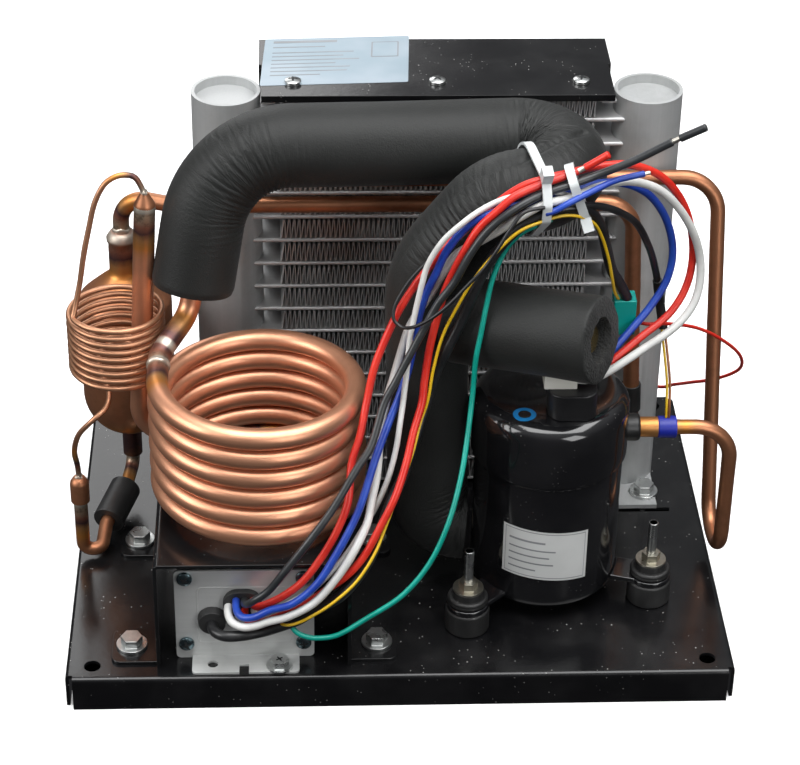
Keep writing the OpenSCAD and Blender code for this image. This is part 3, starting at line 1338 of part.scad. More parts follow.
module suction_foam() {
  color("#2b2d2c") difference() {
    sleeve(foam_path, foam_d / 2, foam_bore, foam_sides);
    rod(tee, along(foam_d), tee_r + soft_gap);
  }
}

module service_foam() {
  down = unit(suction_corners[6] - suction_corners[5]);
  color("#2b2d2c") difference() {
    rod(tee, along(service_l), service_foam_d / 2);
    rod(tee - service_way, along(service_l + over), service_bore_d / 2);
    rod(tee - foam_d * down, tee + foam_d * down, foam_d / 2 + soft_gap);
  }
}

module service_valve() {
  hex_s = valve_end - thread_l - valve_hex_l;
  color("#c9a24a") difference() {
    union() {
      rod(along(tee_l), along(hex_s + over), branch_r);
      translate(along(hex_s)) rotate([0, 90 - service_lift, -service_turn])
        cylinder(d = valve_hex_w / cos(30), h = valve_hex_l, $fn = 6);
      rod(along(hex_s + valve_hex_l), along(valve_end), thread_r);
    }
    rod(along(valve_end - core_deep), along(valve_end + over), core_r);
    rod(along(valve_end - core_deep - pin_l - pin_travel), along(valve_end),
      pin_r + running_gap);
  }
}

module valve_pin() {
  color("#d9bd6a") rod(along(valve_end - pin_stand - pin_l), along(valve_end - pin_stand), pin_r);
}

// Wires
module cord(p, d) { bar(smooth(p, cord_steps), d / 2, small_sides); }
module lead_black() { color("#3b3d40") cord(lead_black_route, lead_d); }
module lead_red() { color("#c8261a") cord(lead_red_route, lead_d); }
module lead_blue() { color("#2c3fa3") cord(lead_blue_route, blue_d); }
module motor_red() { color("#b81f16") cord(motor_red_route, motor_d); }
module motor_blue() { color("#22358f") cord(motor_blue_route, motor_d); }
module motor_white() { color("#dcdcd6") cord(motor_white_route, motor_white_d); }
module sense_white() { color("#e4e4e0") cord(sense_white_route, sense_d); }
module sense_yellow() { color("#d6a312") cord(sense_yellow_route, yellow_d); }
module earth_wire() { color("#12826c") cord(earth_wire_route, earth_d); }
module thin_black() { color("#1c1c1e") cord(thin_black_route, thin_d); }
module thin_red() { color("#b3202a") cord(thin_red_route, thin_d); }
module signal_cable() { color("#18181a") cord(signal_cable_route, signal_cable_d); }
module sensor_cable() { color("#161617") cord(sensor_cable_route, sensor_d); }

// Where a wire crosses the plane through point at with direction way
function crossing(p, at, way) = [for (i = [0 : len(p) - 2])
  let (a = (p[i] - at) * way, b = (p[i + 1] - at) * way)
  if (a < 0 && b >= 0) p[i] + (p[i + 1] - p[i]) * a / (a - b)][0];

// Outline of a strap round circles at spots and one of radius r in the middle, larger by e
module strap(spots, r, e) {
  hull() {
    circle(r + e);
    for (p = spots) translate([p[0], p[1]]) circle(p[2] + tie_gap + e);
  }
}

// Strap round the wires and a round bundle of radius r at its middle, with its head on wire k
module tie(at, way, r, k, turn) {
  side = square_to(way);
  up = cross(side, way);
  spots = [for (t = tied_wires) let (p = crossing(smooth(t[0], cord_steps), at, way) - at)
    [p * side, p * up, t[1] / 2]];
  multmatrix([[side[0], up[0], way[0], at[0]], [side[1], up[1], way[1], at[1]],
    [side[2], up[2], way[2], at[2]]]) {
    linear_extrude(tie_w, center = true) difference() {
      strap(spots, r, tie_t);
      strap(spots, r, 0);
    }
    translate([spots[k][0], spots[k][1], 0]) rotate(turn)
      translate([spots[k][2] + tie_gap + (tie_t + tie_head[0]) / 2, 0, 0])
        cube(tie_head, center = true);
  }
}

module cable_ties() {
  color("#e9ecec") {
    tie(first_tie_at, first_tie_way, foam_d / 2 + soft_gap, 1, first_head_turn);
    tie(second_tie_at, second_tie_way, signal_cable_d / 2, 0, second_head_turn);
  }
}

// Box on the end of the signal cable, and clip of the sensor cable on the discharge line
module wire_connectors() {
  a = discharge_start;
  b = [discharge_out, comp[1], discharge_z - discharge_dip];
  way = unit(b - a);
  at = a + way * (clip_x - a[0]) / way[0];
  color("#1f7f86") block(connector_from, connector_to);
  color("#2456a8") difference() {
    rod(at - way * clip_l / 2, at + way * clip_l / 2, clip_r);
    rod(at - way * clip_l, at + way * clip_l, discharge_d / 2 + press_gap);
  }
}

// Least gaps of the two wound tubes to themselves
echo(evaporator_gap = least_gap(coil_path, coil_tube_d, rings_per_turn / 2),
  capillary_gap = least_gap(capillary_path, capillary_d, rings_per_turn / 2));

base_pan();
coil_bracket();
pan_bolts();
controller_body();
controller_plate();
controller_screws();
controller_bolt();
power_grommet();
signal_grommet();
compressor_shell();
compressor_cap();
compressor_feet();
foot_grommets();
foot_studs();
foot_nuts();
terminal_cover();
terminal_plug();
motor_stator();
motor_rotor();
rolling_piston();
pump_block();
header_left();
header_right();
condenser_tubes();
condenser_fins();
side_plates();
fan_shroud();
shroud_screws();
fan_frame();
fan_rotor();
fan_guard();
evaporator_coil();
evaporator_riser();
capillary_coil();
receiver();
outlet_tube();
outlet_sleeve();
liquid_line();
liquid_sleeve();
discharge_line();
suction_line();
suction_foam();
service_foam();
service_valve();
valve_pin();
lead_black();
lead_red();
lead_blue();
motor_red();
motor_blue();
motor_white();
sense_white();
sense_yellow();
earth_wire();
thin_black();
thin_red();
signal_cable();
sensor_cable();
cable_ties();
wire_connectors();
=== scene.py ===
"""Water chiller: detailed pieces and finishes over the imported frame, in metres, +Z up."""
import json
import math

import bmesh
import bpy
import numpy as np
from bpy.props import FloatProperty, IntProperty, PointerProperty
from mathutils import Matrix

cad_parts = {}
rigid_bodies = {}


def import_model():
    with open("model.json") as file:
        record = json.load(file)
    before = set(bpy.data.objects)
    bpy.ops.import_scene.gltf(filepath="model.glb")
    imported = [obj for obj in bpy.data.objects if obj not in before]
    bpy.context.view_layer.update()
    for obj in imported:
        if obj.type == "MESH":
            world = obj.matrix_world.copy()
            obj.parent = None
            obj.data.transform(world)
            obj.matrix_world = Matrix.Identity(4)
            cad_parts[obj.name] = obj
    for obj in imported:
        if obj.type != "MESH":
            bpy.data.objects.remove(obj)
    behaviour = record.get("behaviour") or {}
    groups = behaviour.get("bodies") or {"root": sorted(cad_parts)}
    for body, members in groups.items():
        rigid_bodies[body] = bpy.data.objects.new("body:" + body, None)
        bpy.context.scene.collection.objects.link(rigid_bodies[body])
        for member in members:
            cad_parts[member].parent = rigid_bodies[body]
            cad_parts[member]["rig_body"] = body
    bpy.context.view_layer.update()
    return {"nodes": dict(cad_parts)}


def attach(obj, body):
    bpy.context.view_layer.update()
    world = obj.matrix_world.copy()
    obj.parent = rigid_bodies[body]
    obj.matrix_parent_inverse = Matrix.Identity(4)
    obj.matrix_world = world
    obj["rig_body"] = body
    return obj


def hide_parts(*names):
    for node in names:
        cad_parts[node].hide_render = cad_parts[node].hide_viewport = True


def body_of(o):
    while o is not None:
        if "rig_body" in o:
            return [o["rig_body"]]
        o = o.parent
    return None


bl_info = {
    "name": "Water Chiller",
    "version": (1, 0, 0),
    "blender": (4, 5, 0),
    "location": "3D View > Sidebar > Chiller",
    "description": "Detailed pieces and finishes of a compact water chiller",
    "category": "Add Mesh",
}

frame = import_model()
MM = 0.001
BASE = "base"

# Places shared by the pieces, in mm
COIL_AT = (-59.1, -48.4)
COIL_R = 40.6
COIL_PITCH = 9.45
COIL_TURNS = 5.75
COIL_TOP = 128.3875
COMPRESSOR = (63.5, -39.0)
SUCTION_PORT = (29.21, -29.812, 42.0)
RECEIVER = (-117.3, 30.0)
JOINT = (-137.2, -20.0, 47.0)
CAPILLARY_AT = (-118.3, -12.0)
CORE_Y = 42.6
FIRST_ROW = 30.2
TUBE_PITCH = 11.57
TUBE_T = 1.9
COIL_TUBE_R = 4.5
"""Radius of the evaporator's tube, of its riser and of the suction line."""
LIQUID_R = 3.5
DISCHARGE_R = 3.2
OUTLET_R = 3.0
CAPILLARY_R = 1.2
SHELL_R = 31.5
LID_R = 33.0
LID_TOP = 116.0
LID_ROUND = 7.0
UP = (0, 0, 1)
FRONT = (0, -1, 0)
TEE = np.array((11.036, -30.217, 146.958))
BRANCH = np.array((0.864427, -0.483112, 0.139173))
"""Way of the service branch, from the tee to its mouth."""


# Lines
def unit(v):
    """v over its own length."""
    v = np.asarray(v, float)
    return v / np.linalg.norm(v)


def fillet(a, b, c, radius, step):
    """Arc of that radius that rounds corner b: centre + r (cos t e - sin t u), t from 0 to the turn."""
    a, b, c = (np.asarray(p, float) for p in (a, b, c))
    u, w = unit(a - b), unit(c - b)
    half = math.acos(float(np.clip(u @ w, -1, 1))) / 2
    centre = b + unit(u + w) * radius / math.sin(half)
    e = unit(b + u * radius / math.tan(half) - centre)
    turn = math.pi - 2 * half
    t = np.linspace(0, turn, max(2, math.ceil(math.degrees(turn) / step) + 1))[:, None]
    return centre + radius * (np.cos(t) * e - np.sin(t) * u)


def route(corners, radii, step=5):
    """Straight stretches between corners, each inner corner rounded by its fillet."""
    middle = [fillet(*corners[i : i + 3], radii[i], step) for i in range(len(corners) - 2)]
    return np.vstack([corners[0], *middle, corners[-1]]).astype(float)


def smooth(points, steps):
    """Catmull-Rom curve through the points: half of the sum of each four neighbours' cubic blends."""
    p = np.asarray(points, float)
    a, b, c, d = (p[np.clip(np.arange(len(p) - 1) + k, 0, len(p) - 1)] for k in (-1, 0, 1, 2))
    t = (np.arange(steps) / steps)[None, :, None]
    a, b, c, d = (q[:, None, :] for q in (a, b, c, d))
    curve = (2 * b + (c - a) * t + (2 * a - 5 * b + 4 * c - d) * t**2 + (3 * b - a - 3 * c + d) * t**3) / 2
    return np.vstack([curve.reshape(-1, 3), p[-1:]])


def winding(centre, radius, top, pitch, start, turns, steps):
    """Helix: centre + radius (cos a, sin a), falling by one pitch a turn."""
    f = np.linspace(0, turns, int(turns * steps) + 1)
    a = math.radians(start) + 2 * math.pi * f
    return np.stack([centre[0] + radius * np.cos(a), centre[1] + radius * np.sin(a), top - pitch * f], 1)


def resample(path, step):
    """The same line with its points one step apart, by length."""
    s = distances(path)
    wanted = np.linspace(0, s[-1], max(2, int(round(s[-1] / step)) + 1))
    return np.stack([np.interp(wanted, s, path[:, k]) for k in range(3)], 1)


def distances(path):
    """Length from the start to each point: the running sum of the steps."""
    return np.concatenate([[0], np.cumsum(np.linalg.norm(np.diff(path, axis=0), axis=1))])


def axes_along(path):
    """Heading of each point, and two directions square to it that turn as little as they can."""
    t = np.gradient(path, axis=0)
    t /= np.linalg.norm(t, axis=1)[:, None]
    s = np.zeros_like(t)
    s[0] = unit(np.cross(t[0], (0, 0, 1) if abs(t[0][2]) < 0.9 else (0, 1, 0)))
    for i in range(1, len(t)):
        s[i] = unit(s[i - 1] - (s[i - 1] @ t[i]) * t[i])
    return t, s, np.cross(t, s)


# Surfaces
def add_object(name, points, faces, material, smooth_angle=40, uv=None, attributes=()):
    """Mesh object from points in mm and index faces, with its own UV map and point attributes."""
    mesh = bpy.data.meshes.new(name)
    mesh.from_pydata((np.asarray(points, float) * MM).tolist(), [], [list(map(int, f)) for f in faces])
    mesh.update()
    for key, values in dict(attributes).items():
        layer = mesh.attributes.new(key, "FLOAT", "POINT")
        layer.data.foreach_set("value", np.asarray(values, np.float32).ravel())
    if uv is not None:
        index = np.empty(len(mesh.loops), np.int32)
        mesh.loops.foreach_get("vertex_index", index)
        layer = mesh.uv_layers.new(name="along")
        layer.data.foreach_set("uv", np.asarray(uv, np.float32)[index].ravel())
    mesh.materials.append(material)
    mesh.shade_smooth()
    mesh.set_sharp_from_angle(angle=math.radians(smooth_angle))
    obj = bpy.data.objects.new(name, mesh)
    bpy.context.scene.collection.objects.link(obj)
    return obj


def grid_faces(rows, columns, close_columns=True, flip=False):
    """Quads of a grid whose point (i, k) has number i * columns + k."""
    i = np.arange(rows - 1)[:, None]
    k = np.arange(columns if close_columns else columns - 1)[None, :]
    i1, k1 = i + 1, (k + 1) % columns
    quads = np.stack([i * columns + k, i * columns + k1, i1 * columns + k1, i1 * columns + k], -1)
    quads = quads.reshape(-1, 4)
    return quads[:, ::-1] if flip else quads


def tube_points(path, radius, sides):
    """Ring of each point: centre + r (cos a side + sin a up); radius is a number, a list or a grid."""
    _, s, b = axes_along(path)
    a = np.linspace(0, 2 * math.pi, sides, endpoint=False)
    r = np.broadcast_to(np.asarray(radius, float).reshape(-1, 1) if np.ndim(radius) == 1 else radius,
                        (len(path), sides))[..., None]
    return path[:, None] + r * (np.cos(a)[None, :, None] * s[:, None] + np.sin(a)[None, :, None] * b[:, None])


END_SHARES = (0.5, 0.86, 1.0)
"""How far along its rounding each ring of a tube's end stands."""
EDGE_ANGLE = math.radians(35)
"""Edges sharper than this are bevelled and stay sharp."""


def tube(name, path, radius, sides, material, round_end=0.0, attributes=(), **options):
    """Closed bar along a path, its ends drawn in by round_end on a quarter circle, to a middle point."""
    path = np.asarray(path, float)
    s = distances(path)
    grid = tube_points(path, radius, sides)
    rows = [grid]
    t, _, _ = axes_along(path)
    index = list(range(len(path)))
    if round_end:
        for end, sign in ((0, -1), (-1, 1)):
            centre = path[end]
            ring = grid[end] - centre
            size = np.linalg.norm(ring[0])
            out = sign * t[end] * round_end
            caps = [centre + out * q + ring * (1 - round_end * (1 - math.sqrt(1 - q * q)) / size)
                    for q in END_SHARES]
            if sign < 0:
                rows.insert(0, np.array(caps[::-1]))
                index = [0] * len(caps) + index
            else:
                rows.append(np.array(caps))
                index = index + [len(path) - 1] * len(caps)
    points = np.concatenate(rows)
    n = len(points)
    flat = np.vstack([points.reshape(-1, 3), points[0].mean(0), points[-1].mean(0)])
    k = np.arange(sides)
    first = np.stack([np.full(sides, n * sides), (k + 1) % sides, k], 1)
    start = (n - 1) * sides
    last = np.stack([np.full(sides, n * sides + 1), start + k, start + (k + 1) % sides], 1)
    faces = [*grid_faces(n, sides), *first, *last]
    along = np.repeat(s[index], sides) * MM
    uv = np.stack([along, np.tile(k / sides, n)], 1)
    uv = np.vstack([uv, [along[0], 0], [along[-1], 0]])
    extra = {}
    for key, v in dict(attributes).items():
        v = np.asarray(v, float)
        v = np.repeat(v[:, None], sides, 1) if v.ndim == 1 else v
        extra[key] = np.append(v[index].ravel(), (v[0].mean(), v[-1].mean()))
    return add_object(name, flat, faces, material, uv=uv, attributes=extra, **options)


def turned(name, profile, material, centre=(0, 0, 0), axis=(0, 0, 1), sides=96, ripple=None, **options):
    """Lathe work: the profile's (radius, height) turned round an axis; a radius of 0 closes on a pole."""
    profile = np.asarray(profile, float)
    w = unit(axis)
    u = unit(np.cross(w, (0, 1, 0) if abs(w[1]) < 0.9 else (1, 0, 0)))
    v = np.cross(w, u)
    a = np.linspace(0, 2 * math.pi, sides, endpoint=False)
    r = np.repeat(profile[:, :1], sides, 1)
    h = np.repeat(profile[:, 1:], sides, 1)
    if ripple is not None:
        r, h = ripple(r, h, a[None, :])
    out = np.cos(a)[None, :, None] * u + np.sin(a)[None, :, None] * v
    grid = np.asarray(centre, float) + r[..., None] * out + h[..., None] * w
    obj = add_object(name, grid.reshape(-1, 3), grid_faces(len(profile), sides), material, **options)
    weld(obj)
    return obj


def weld(obj, distance=1e-6):
    """Merges points that coincide and turns every face outwards."""
    work = bmesh.new()
    work.from_mesh(obj.data)
    bmesh.ops.remove_doubles(work, verts=work.verts, dist=distance)
    bmesh.ops.dissolve_degenerate(work, edges=work.edges, dist=distance)
    bmesh.ops.recalc_face_normals(work, faces=work.faces)
    work.to_mesh(obj.data)
    work.free()


def rounded(corners, radius, steps=6):
    """Outline with its corners rounded by arcs, as points."""
    p = np.asarray(corners, float)
    p = np.hstack([p, np.zeros((len(p), 1))])
    n = len(p)
    radii = np.broadcast_to(radius, (n,))
    arcs = [fillet(p[i - 1], p[i], p[(i + 1) % n], radii[i], 90 / steps) for i in range(n)]
    return np.vstack(arcs)[:, :2]


def sheet_of(name, outline, thickness, place, material):
    """Flat plate: an outline in its own plane, given a thickness; place turns (u, v, w) into x, y, z."""
    outline = np.asarray(outline, float)
    n = len(outline)
    low = np.hstack([outline, np.zeros((n, 1))])
    high = np.hstack([outline, np.full((n, 1), thickness)])
    points = place(np.vstack([low, high]))
    k = np.arange(n)
    sides = np.stack([k, (k + 1) % n, n + (k + 1) % n, n + k], 1)
    obj = add_object(name, points, [k[::-1], n + k, *sides], material)
    weld(obj)
    return obj


def softened(node, material, width, segments=2):
    """Copy of a CAD node with its flat faces joined and its edges bevelled, which stands for it."""
    source = frame["nodes"][node]
    obj = source.copy()
    obj.data = source.data.copy()
    obj.name = node + "_finished"
    bpy.context.scene.collection.objects.link(obj)
    for key in [k for k in obj.keys() if k.startswith("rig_")]:
        del obj[key]
    obj.parent = None
    obj.matrix_world = Matrix.Identity(4)
    work = bmesh.new()
    work.from_mesh(obj.data)
    bmesh.ops.remove_doubles(work, verts=work.verts, dist=2e-6)
    bmesh.ops.dissolve_limit(work, angle_limit=math.radians(1), verts=work.verts, edges=work.edges)
    work.to_mesh(obj.data)
    work.free()
    obj.data.materials.clear()
    obj.data.materials.append(material)
    obj.data.shade_smooth()
    obj.data.set_sharp_from_angle(angle=EDGE_ANGLE)
    bevel = obj.modifiers.new("edges", "BEVEL")
    bevel.width = width * MM
    bevel.segments = segments
    bevel.limit_method = "ANGLE"
    bevel.angle_limit = EDGE_ANGLE
    bevel.harden_normals = True
    bevel.use_clamp_overlap = True
    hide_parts(node)
    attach(obj, body_of(source)[0])
    return obj


def settle(obj, *nodes):
    """The piece rides on the base, and stands for the nodes that it replaces."""
    if nodes:
        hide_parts(*nodes)
    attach(obj, BASE)
    return obj


def ripple_noise(x, seed):
    """Repeatable waviness: a sum of sines in three octaves, each twice as fine and half as strong."""
    rng = np.random.default_rng(seed)
    total = np.zeros_like(np.asarray(x, float))
    for k in range(3):
        f = 2**k * rng.uniform(0.85, 1.15, 3)
        phase = rng.uniform(0, 2 * math.pi, 3)
        total += sum(np.sin(f[j] * x + phase[j]) for j in range(3)) / 3 / 2**k
    return total


# Finishes
class Graph:
    """Short way to add nodes to a tree and to join their sockets."""

    def __init__(self, tree):
        self.tree = tree

    def node(self, kind, values=(), **settings):
        """New node, with sockets joined to its inputs or plain values set there."""
        n = self.tree.nodes.new(kind)
        for key, value in settings.items():
            setattr(n, key, value)
        for key, value in dict(values).items():
            if isinstance(value, bpy.types.NodeSocket):
                self.tree.links.new(value, n.inputs[key])
            else:
                n.inputs[key].default_value = value
        return n

    def use(self, tree, values):
        """Outputs of a node group placed in this tree."""
        return self.node("ShaderNodeGroup", values, node_tree=tree).outputs

    def math(self, what, a, b=0.0):
        return self.node("ShaderNodeMath", {0: a, 1: b}, operation=what).outputs[0]

    def plus(self, a, b):
        return self.math("ADD", a, b)

    def minus(self, a, b):
        return self.math("SUBTRACT", a, b)

    def times(self, a, b):
        return self.math("MULTIPLY", a, b)

    def ramp(self, value, low, high):
        """0 below low, 1 above high, smooth between."""
        n = self.node("ShaderNodeMapRange", {0: value, 1: low, 2: high}, interpolation_type="SMOOTHSTEP")
        return n.outputs[0]

    def blend(self, mask, a, b):
        """Colour a where the mask is 0, b where it is 1."""
        return self.node("ShaderNodeMix", {0: mask, 6: a, 7: b}, data_type="RGBA").outputs[2]

    def noise(self, vector, scale, detail=4.0, rough=0.55):
        values = {"Vector": vector, "Scale": scale, "Detail": detail, "Roughness": rough}
        return self.node("ShaderNodeTexNoise", values).outputs[0]

    def cells(self, vector, scale):
        """Distance to the middle of the nearest cell."""
        return self.node("ShaderNodeTexVoronoi", {"Vector": vector, "Scale": scale}).outputs[0]

    def stretched(self, vector, scale):
        return self.node("ShaderNodeMapping", {"Vector": vector, "Scale": scale}).outputs[0]

    def attribute(self, name):
        return self.node("ShaderNodeAttribute", attribute_name=name).outputs["Fac"]

    def bump(self, height, strength, distance, **more):
        values = {"Height": height, "Strength": strength, "Distance": distance, **more}
        return self.node("ShaderNodeBump", values).outputs[0]


def group(name, inputs, outputs, build):
    """Node group with named inputs (name, kind, default) and outputs (name, kind), filled by build."""
    if name in bpy.data.node_groups:
        return bpy.data.node_groups[name]
    tree = bpy.data.node_groups.new(name, "ShaderNodeTree")
    for label, kind, value in inputs:
        socket = tree.interface.new_socket(name=label, in_out="INPUT", socket_type="NodeSocket" + kind)
        if value is not None:
            socket.default_value = value
    for label, kind in outputs:
        tree.interface.new_socket(name=label, in_out="OUTPUT", socket_type="NodeSocket" + kind)
    g = Graph(tree)
    start, end = g.node("NodeGroupInput"), g.node("NodeGroupOutput")
    for label, socket in build(g, start.outputs).items():
        tree.links.new(socket, end.inputs[label])
    return tree


def surface_group():
    """Grain and mottling: fine noise for the bump, slow noise for the roughness and between two colours."""

    def build(g, i):
        fine = g.noise(i["Vector"], i["Grain"])
        slow = g.noise(i["Vector"], i["Patch"], 3.0)
        mask = g.ramp(slow, 0.38, 0.66)
        rough = g.plus(i["Roughness"], g.times(g.minus(slow, 0.5), i["Spread"]))
        bump = g.bump(fine, i["Depth"], 0.0004, Normal=i["Normal"])
        color = g.blend(mask, i["Color A"], i["Color B"])
        return {"Color": color, "Roughness": rough, "Mask": mask, "Normal": bump}

    inputs = [("Vector", "Vector", None), ("Color A", "Color", None), ("Color B", "Color", None),
              ("Grain", "Float", 900.0), ("Patch", "Float", 40.0), ("Roughness", "Float", 0.5),
              ("Spread", "Float", 0.2), ("Depth", "Float", 0.2), ("Normal", "Vector", None)]
    outputs = [("Color", "Color"), ("Roughness", "Float"), ("Mask", "Float"), ("Normal", "Vector")]
    return group("Surface grain", inputs, outputs, build)


def dust_group():
    """Dust: specks in the middles of small cells and a thin film, more of both where the surface faces up."""

    def build(g, i):
        chance = g.noise(i["Vector"], 60.0, 2.0)
        normal = g.node("ShaderNodeNewGeometry").outputs["Normal"]
        up = g.node("ShaderNodeSeparateXYZ", {0: normal}).outputs[2]
        film = g.times(g.ramp(chance, 0.45, 0.8), g.ramp(up, 0.3, 1.0))
        near = g.math("LESS_THAN", g.cells(i["Vector"], i["Scale"]), 0.1)
        speck = g.times(g.times(near, g.ramp(chance, 0.46, 0.62)), g.ramp(up, -0.4, 0.6))
        amount = g.times(i["Amount"], g.plus(speck, g.times(film, 0.02)))
        return {"Color": g.blend(amount, i["Color"], (0.5, 0.49, 0.47, 1)), "Amount": amount}

    inputs = [("Vector", "Vector", None), ("Color", "Color", None), ("Scale", "Float", 420.0),
              ("Amount", "Float", 0.5)]
    return group("Dust", inputs, [("Color", "Color"), ("Amount", "Float")], build)


def scratch_group():
    """Drawn lines: noise stretched along one way of the surface."""

    def build(g, i):
        return {"Mask": g.noise(g.stretched(i["Vector"], i["Stretch"]), i["Scale"], 5.0, 0.6)}

    inputs = [("Vector", "Vector", None), ("Stretch", "Vector", (1, 1, 1)), ("Scale", "Float", 200.0)]
    return group("Scratches", inputs, [("Mask", "Float")], build)


def material(name, paint, **settings):
    """Material whose shader has plain settings, and the sockets that paint returns."""
    m = bpy.data.materials.new(name)
    m.use_nodes = True
    shader = m.node_tree.nodes["Principled BSDF"]
    for key, value in settings.items():
        shader.inputs[key.replace("_", " ")].default_value = value
    g = Graph(m.node_tree)
    where = g.node("ShaderNodeTexCoord").outputs
    for key, socket in paint(g, where["Object"], where["UV"]).items():
        g.tree.links.new(socket, shader.inputs[key])
    return m


def plain(name, a, b, roughness, grain=900.0, patch=40.0, depth=0.2, spread=0.15, dust=0.0, dust_scale=420.0,
          **settings):
    """Grained material between two near colours, with dust if asked."""

    def paint(g, place, uv):
        values = {"Vector": place, "Color A": (*a, 1), "Color B": (*b, 1), "Grain": grain, "Patch": patch,
                  "Roughness": roughness, "Spread": spread, "Depth": depth}
        skin = g.use(surface_group(), values)
        out = {"Base Color": skin["Color"], "Roughness": skin["Roughness"], "Normal": skin["Normal"]}
        if dust:
            dusty = g.use(dust_group(), {"Vector": place, "Color": skin["Color"], "Scale": dust_scale,
                                         "Amount": dust})
            out["Base Color"] = dusty["Color"]
            out["Roughness"] = g.plus(skin["Roughness"], g.times(dusty["Amount"], 0.5))
        return out

    return material(name, paint, **settings)


HEAT_TINTS = ((0.3, (0.72, 0.3, 0.07)), (0.5, (0.5, 0.26, 0.1)), (0.66, (0.07, 0.045, 0.055)),
              (0.8, (0.3, 0.13, 0.09)))
"""Colours that copper takes as it nears a brazed joint, each at its share of the heat."""
SCALE_TINT = (0.5, 0.42, 0.3, 1)
SOOT = (0.05, 0.03, 0.025, 1)
SOLDER = (0.62, 0.58, 0.5, 1)


def copper(name, clean, dark, roughness, tarnish):
    """Drawn tube: fine lines along it, tarnish by noise and by the burn attribute, solder by its own."""

    def paint(g, place, uv):
        heat, solder = g.attribute("burn"), g.attribute("solder")
        lines = g.use(scratch_group(), {"Vector": uv, "Stretch": (60.0, 22.0, 1.0), "Scale": 1.6})["Mask"]
        cloud = g.noise(place, 55.0, 6.0, 0.62)
        spots = g.noise(place, 320.0, 5.0, 0.7)
        stained = g.ramp(g.plus(heat, g.times(g.minus(spots, 0.5), 0.7)), 0.15, 0.95)
        aged = g.plus(g.times(g.ramp(cloud, 0.42, 0.75), tarnish), g.times(stained, 0.4))
        aged = g.math("MINIMUM", aged, 1.0)
        base = g.blend(aged, (*clean, 1), (*dark, 1))
        tints = g.node("ShaderNodeValToRGB", {"Fac": g.plus(heat, g.times(g.minus(cloud, 0.5), 0.35))})
        bar = tints.color_ramp
        for at, tint in HEAT_TINTS:
            bar.elements.new(at).color = (*tint, 1)
        bar.elements[0].color = (*clean, 1)
        bar.elements[-1].color = SCALE_TINT
        base = g.blend(g.ramp(heat, 0.04, 0.3), base, tints.outputs[0])
        base = g.blend(g.times(lines, 0.22), base, (clean[0] * 0.55, clean[1] * 0.42, clean[2] * 0.35, 1))
        burnt = g.ramp(g.times(heat, spots), 0.4, 0.62)
        base = g.blend(g.times(burnt, 0.6), base, SOOT)
        base = g.blend(solder, base, SOLDER)
        rough = g.plus(roughness, g.plus(g.times(aged, 0.16), g.times(g.minus(lines, 0.5), 0.25)))
        bump = g.bump(g.plus(lines, g.times(spots, 0.5)), 0.12, 0.0003)
        return {"Base Color": base, "Roughness": rough, "Normal": bump}

    return material(name, paint, Metallic=0.85)


def foam_finish(name, a, b, cut=False):
    """Closed-cell foam: fine pores, faint wiped patches, creases by their attribute with painted shade in
    their troughs, a grainy cut face.
    """

    def paint(g, place, uv):
        pores = g.cells(place, 900.0 if cut else 1500.0)
        cloud = g.noise(place, 26.0, 5.0, 0.6)
        fine = g.noise(place, 700.0, 4.0, 0.65)
        base = g.blend(g.ramp(cloud, 0.35, 0.72), (*a, 1), (*b, 1))
        base = g.blend(g.times(fine, 0.3), base, (b[0] * 1.6, b[1] * 1.6, b[2] * 1.6, 1))
        height = g.plus(g.times(pores, 1.0 if cut else 0.35), g.times(fine, 0.6))
        crease = g.attribute("crease")
        across = g.stretched(uv, (330.0, 5.0, 1.0))
        values = {"Vector": across, "Scale": 1.0, "Detail": 3.0, "Distortion": 1.2}
        folds = g.ramp(g.node("ShaderNodeTexNoise", values).outputs[0], 0.34, 0.6)
        height = g.plus(height, g.times(g.times(folds, crease), 3.2))
        # painted shade: the skin is darkened in the troughs of the creases, where shade falls
        shade = g.times(crease, g.minus(0.55, g.times(folds, 0.55)))
        base = g.blend(shade, base, (a[0] * 0.4, a[1] * 0.4, a[2] * 0.4, 1))
        rough = g.plus(0.8 if cut else 0.46, g.times(cloud, 0.14))
        return {"Base Color": base, "Normal": g.bump(height, 0.8 if cut else 0.3, 0.0006), "Roughness": rough}

    return material(name, paint, Sheen_Weight=0.05, Sheen_Roughness=0.5, Specular_IOR_Level=0.3)


def metal_sheet(name, a, b, roughness, stretch=(30.0, 900.0, 900.0), dirt=0.25, patch=28.0, metallic=1.0):
    """Bare metal: brushed lines one way, and a cloudy dull film."""

    def paint(g, place, uv):
        lines = g.use(scratch_group(), {"Vector": place, "Stretch": stretch, "Scale": 1.0})["Mask"]
        cloud = g.noise(place, patch, 6.0, 0.6)
        base = g.blend(lines, (*a, 1), (*b, 1))
        film = g.times(g.ramp(cloud, 0.45, 0.75), dirt)
        base = g.blend(film, base, (b[0] * 0.5, b[1] * 0.5, b[2] * 0.48, 1))
        bump = g.bump(g.plus(g.times(lines, 0.6), cloud), 0.12, 0.0004)
        rough = g.plus(roughness, g.times(g.minus(cloud, 0.5), 0.3))
        return {"Base Color": base, "Normal": bump, "Roughness": rough}

    return material(name, paint, Metallic=metallic)


EVEN = (500.0, 500.0, 500.0)
"""Grain with no direction, for small plated parts."""
INSULATION = {
    "red": ((0.56, 0.02, 0.012), (0.66, 0.035, 0.02)), "blue": ((0.012, 0.045, 0.33), (0.02, 0.07, 0.42)),
    "white": ((0.58, 0.58, 0.56), (0.66, 0.66, 0.64)), "yellow": ((0.68, 0.42, 0.012), (0.78, 0.5, 0.02)),
    "green": ((0.0, 0.25, 0.19), (0.005, 0.32, 0.25)), "grey": ((0.022, 0.024, 0.026), (0.034, 0.036, 0.038)),
    "black": ((0.01, 0.01, 0.011), (0.02, 0.02, 0.021)),
}
"""Two near colours of each wire's insulation."""


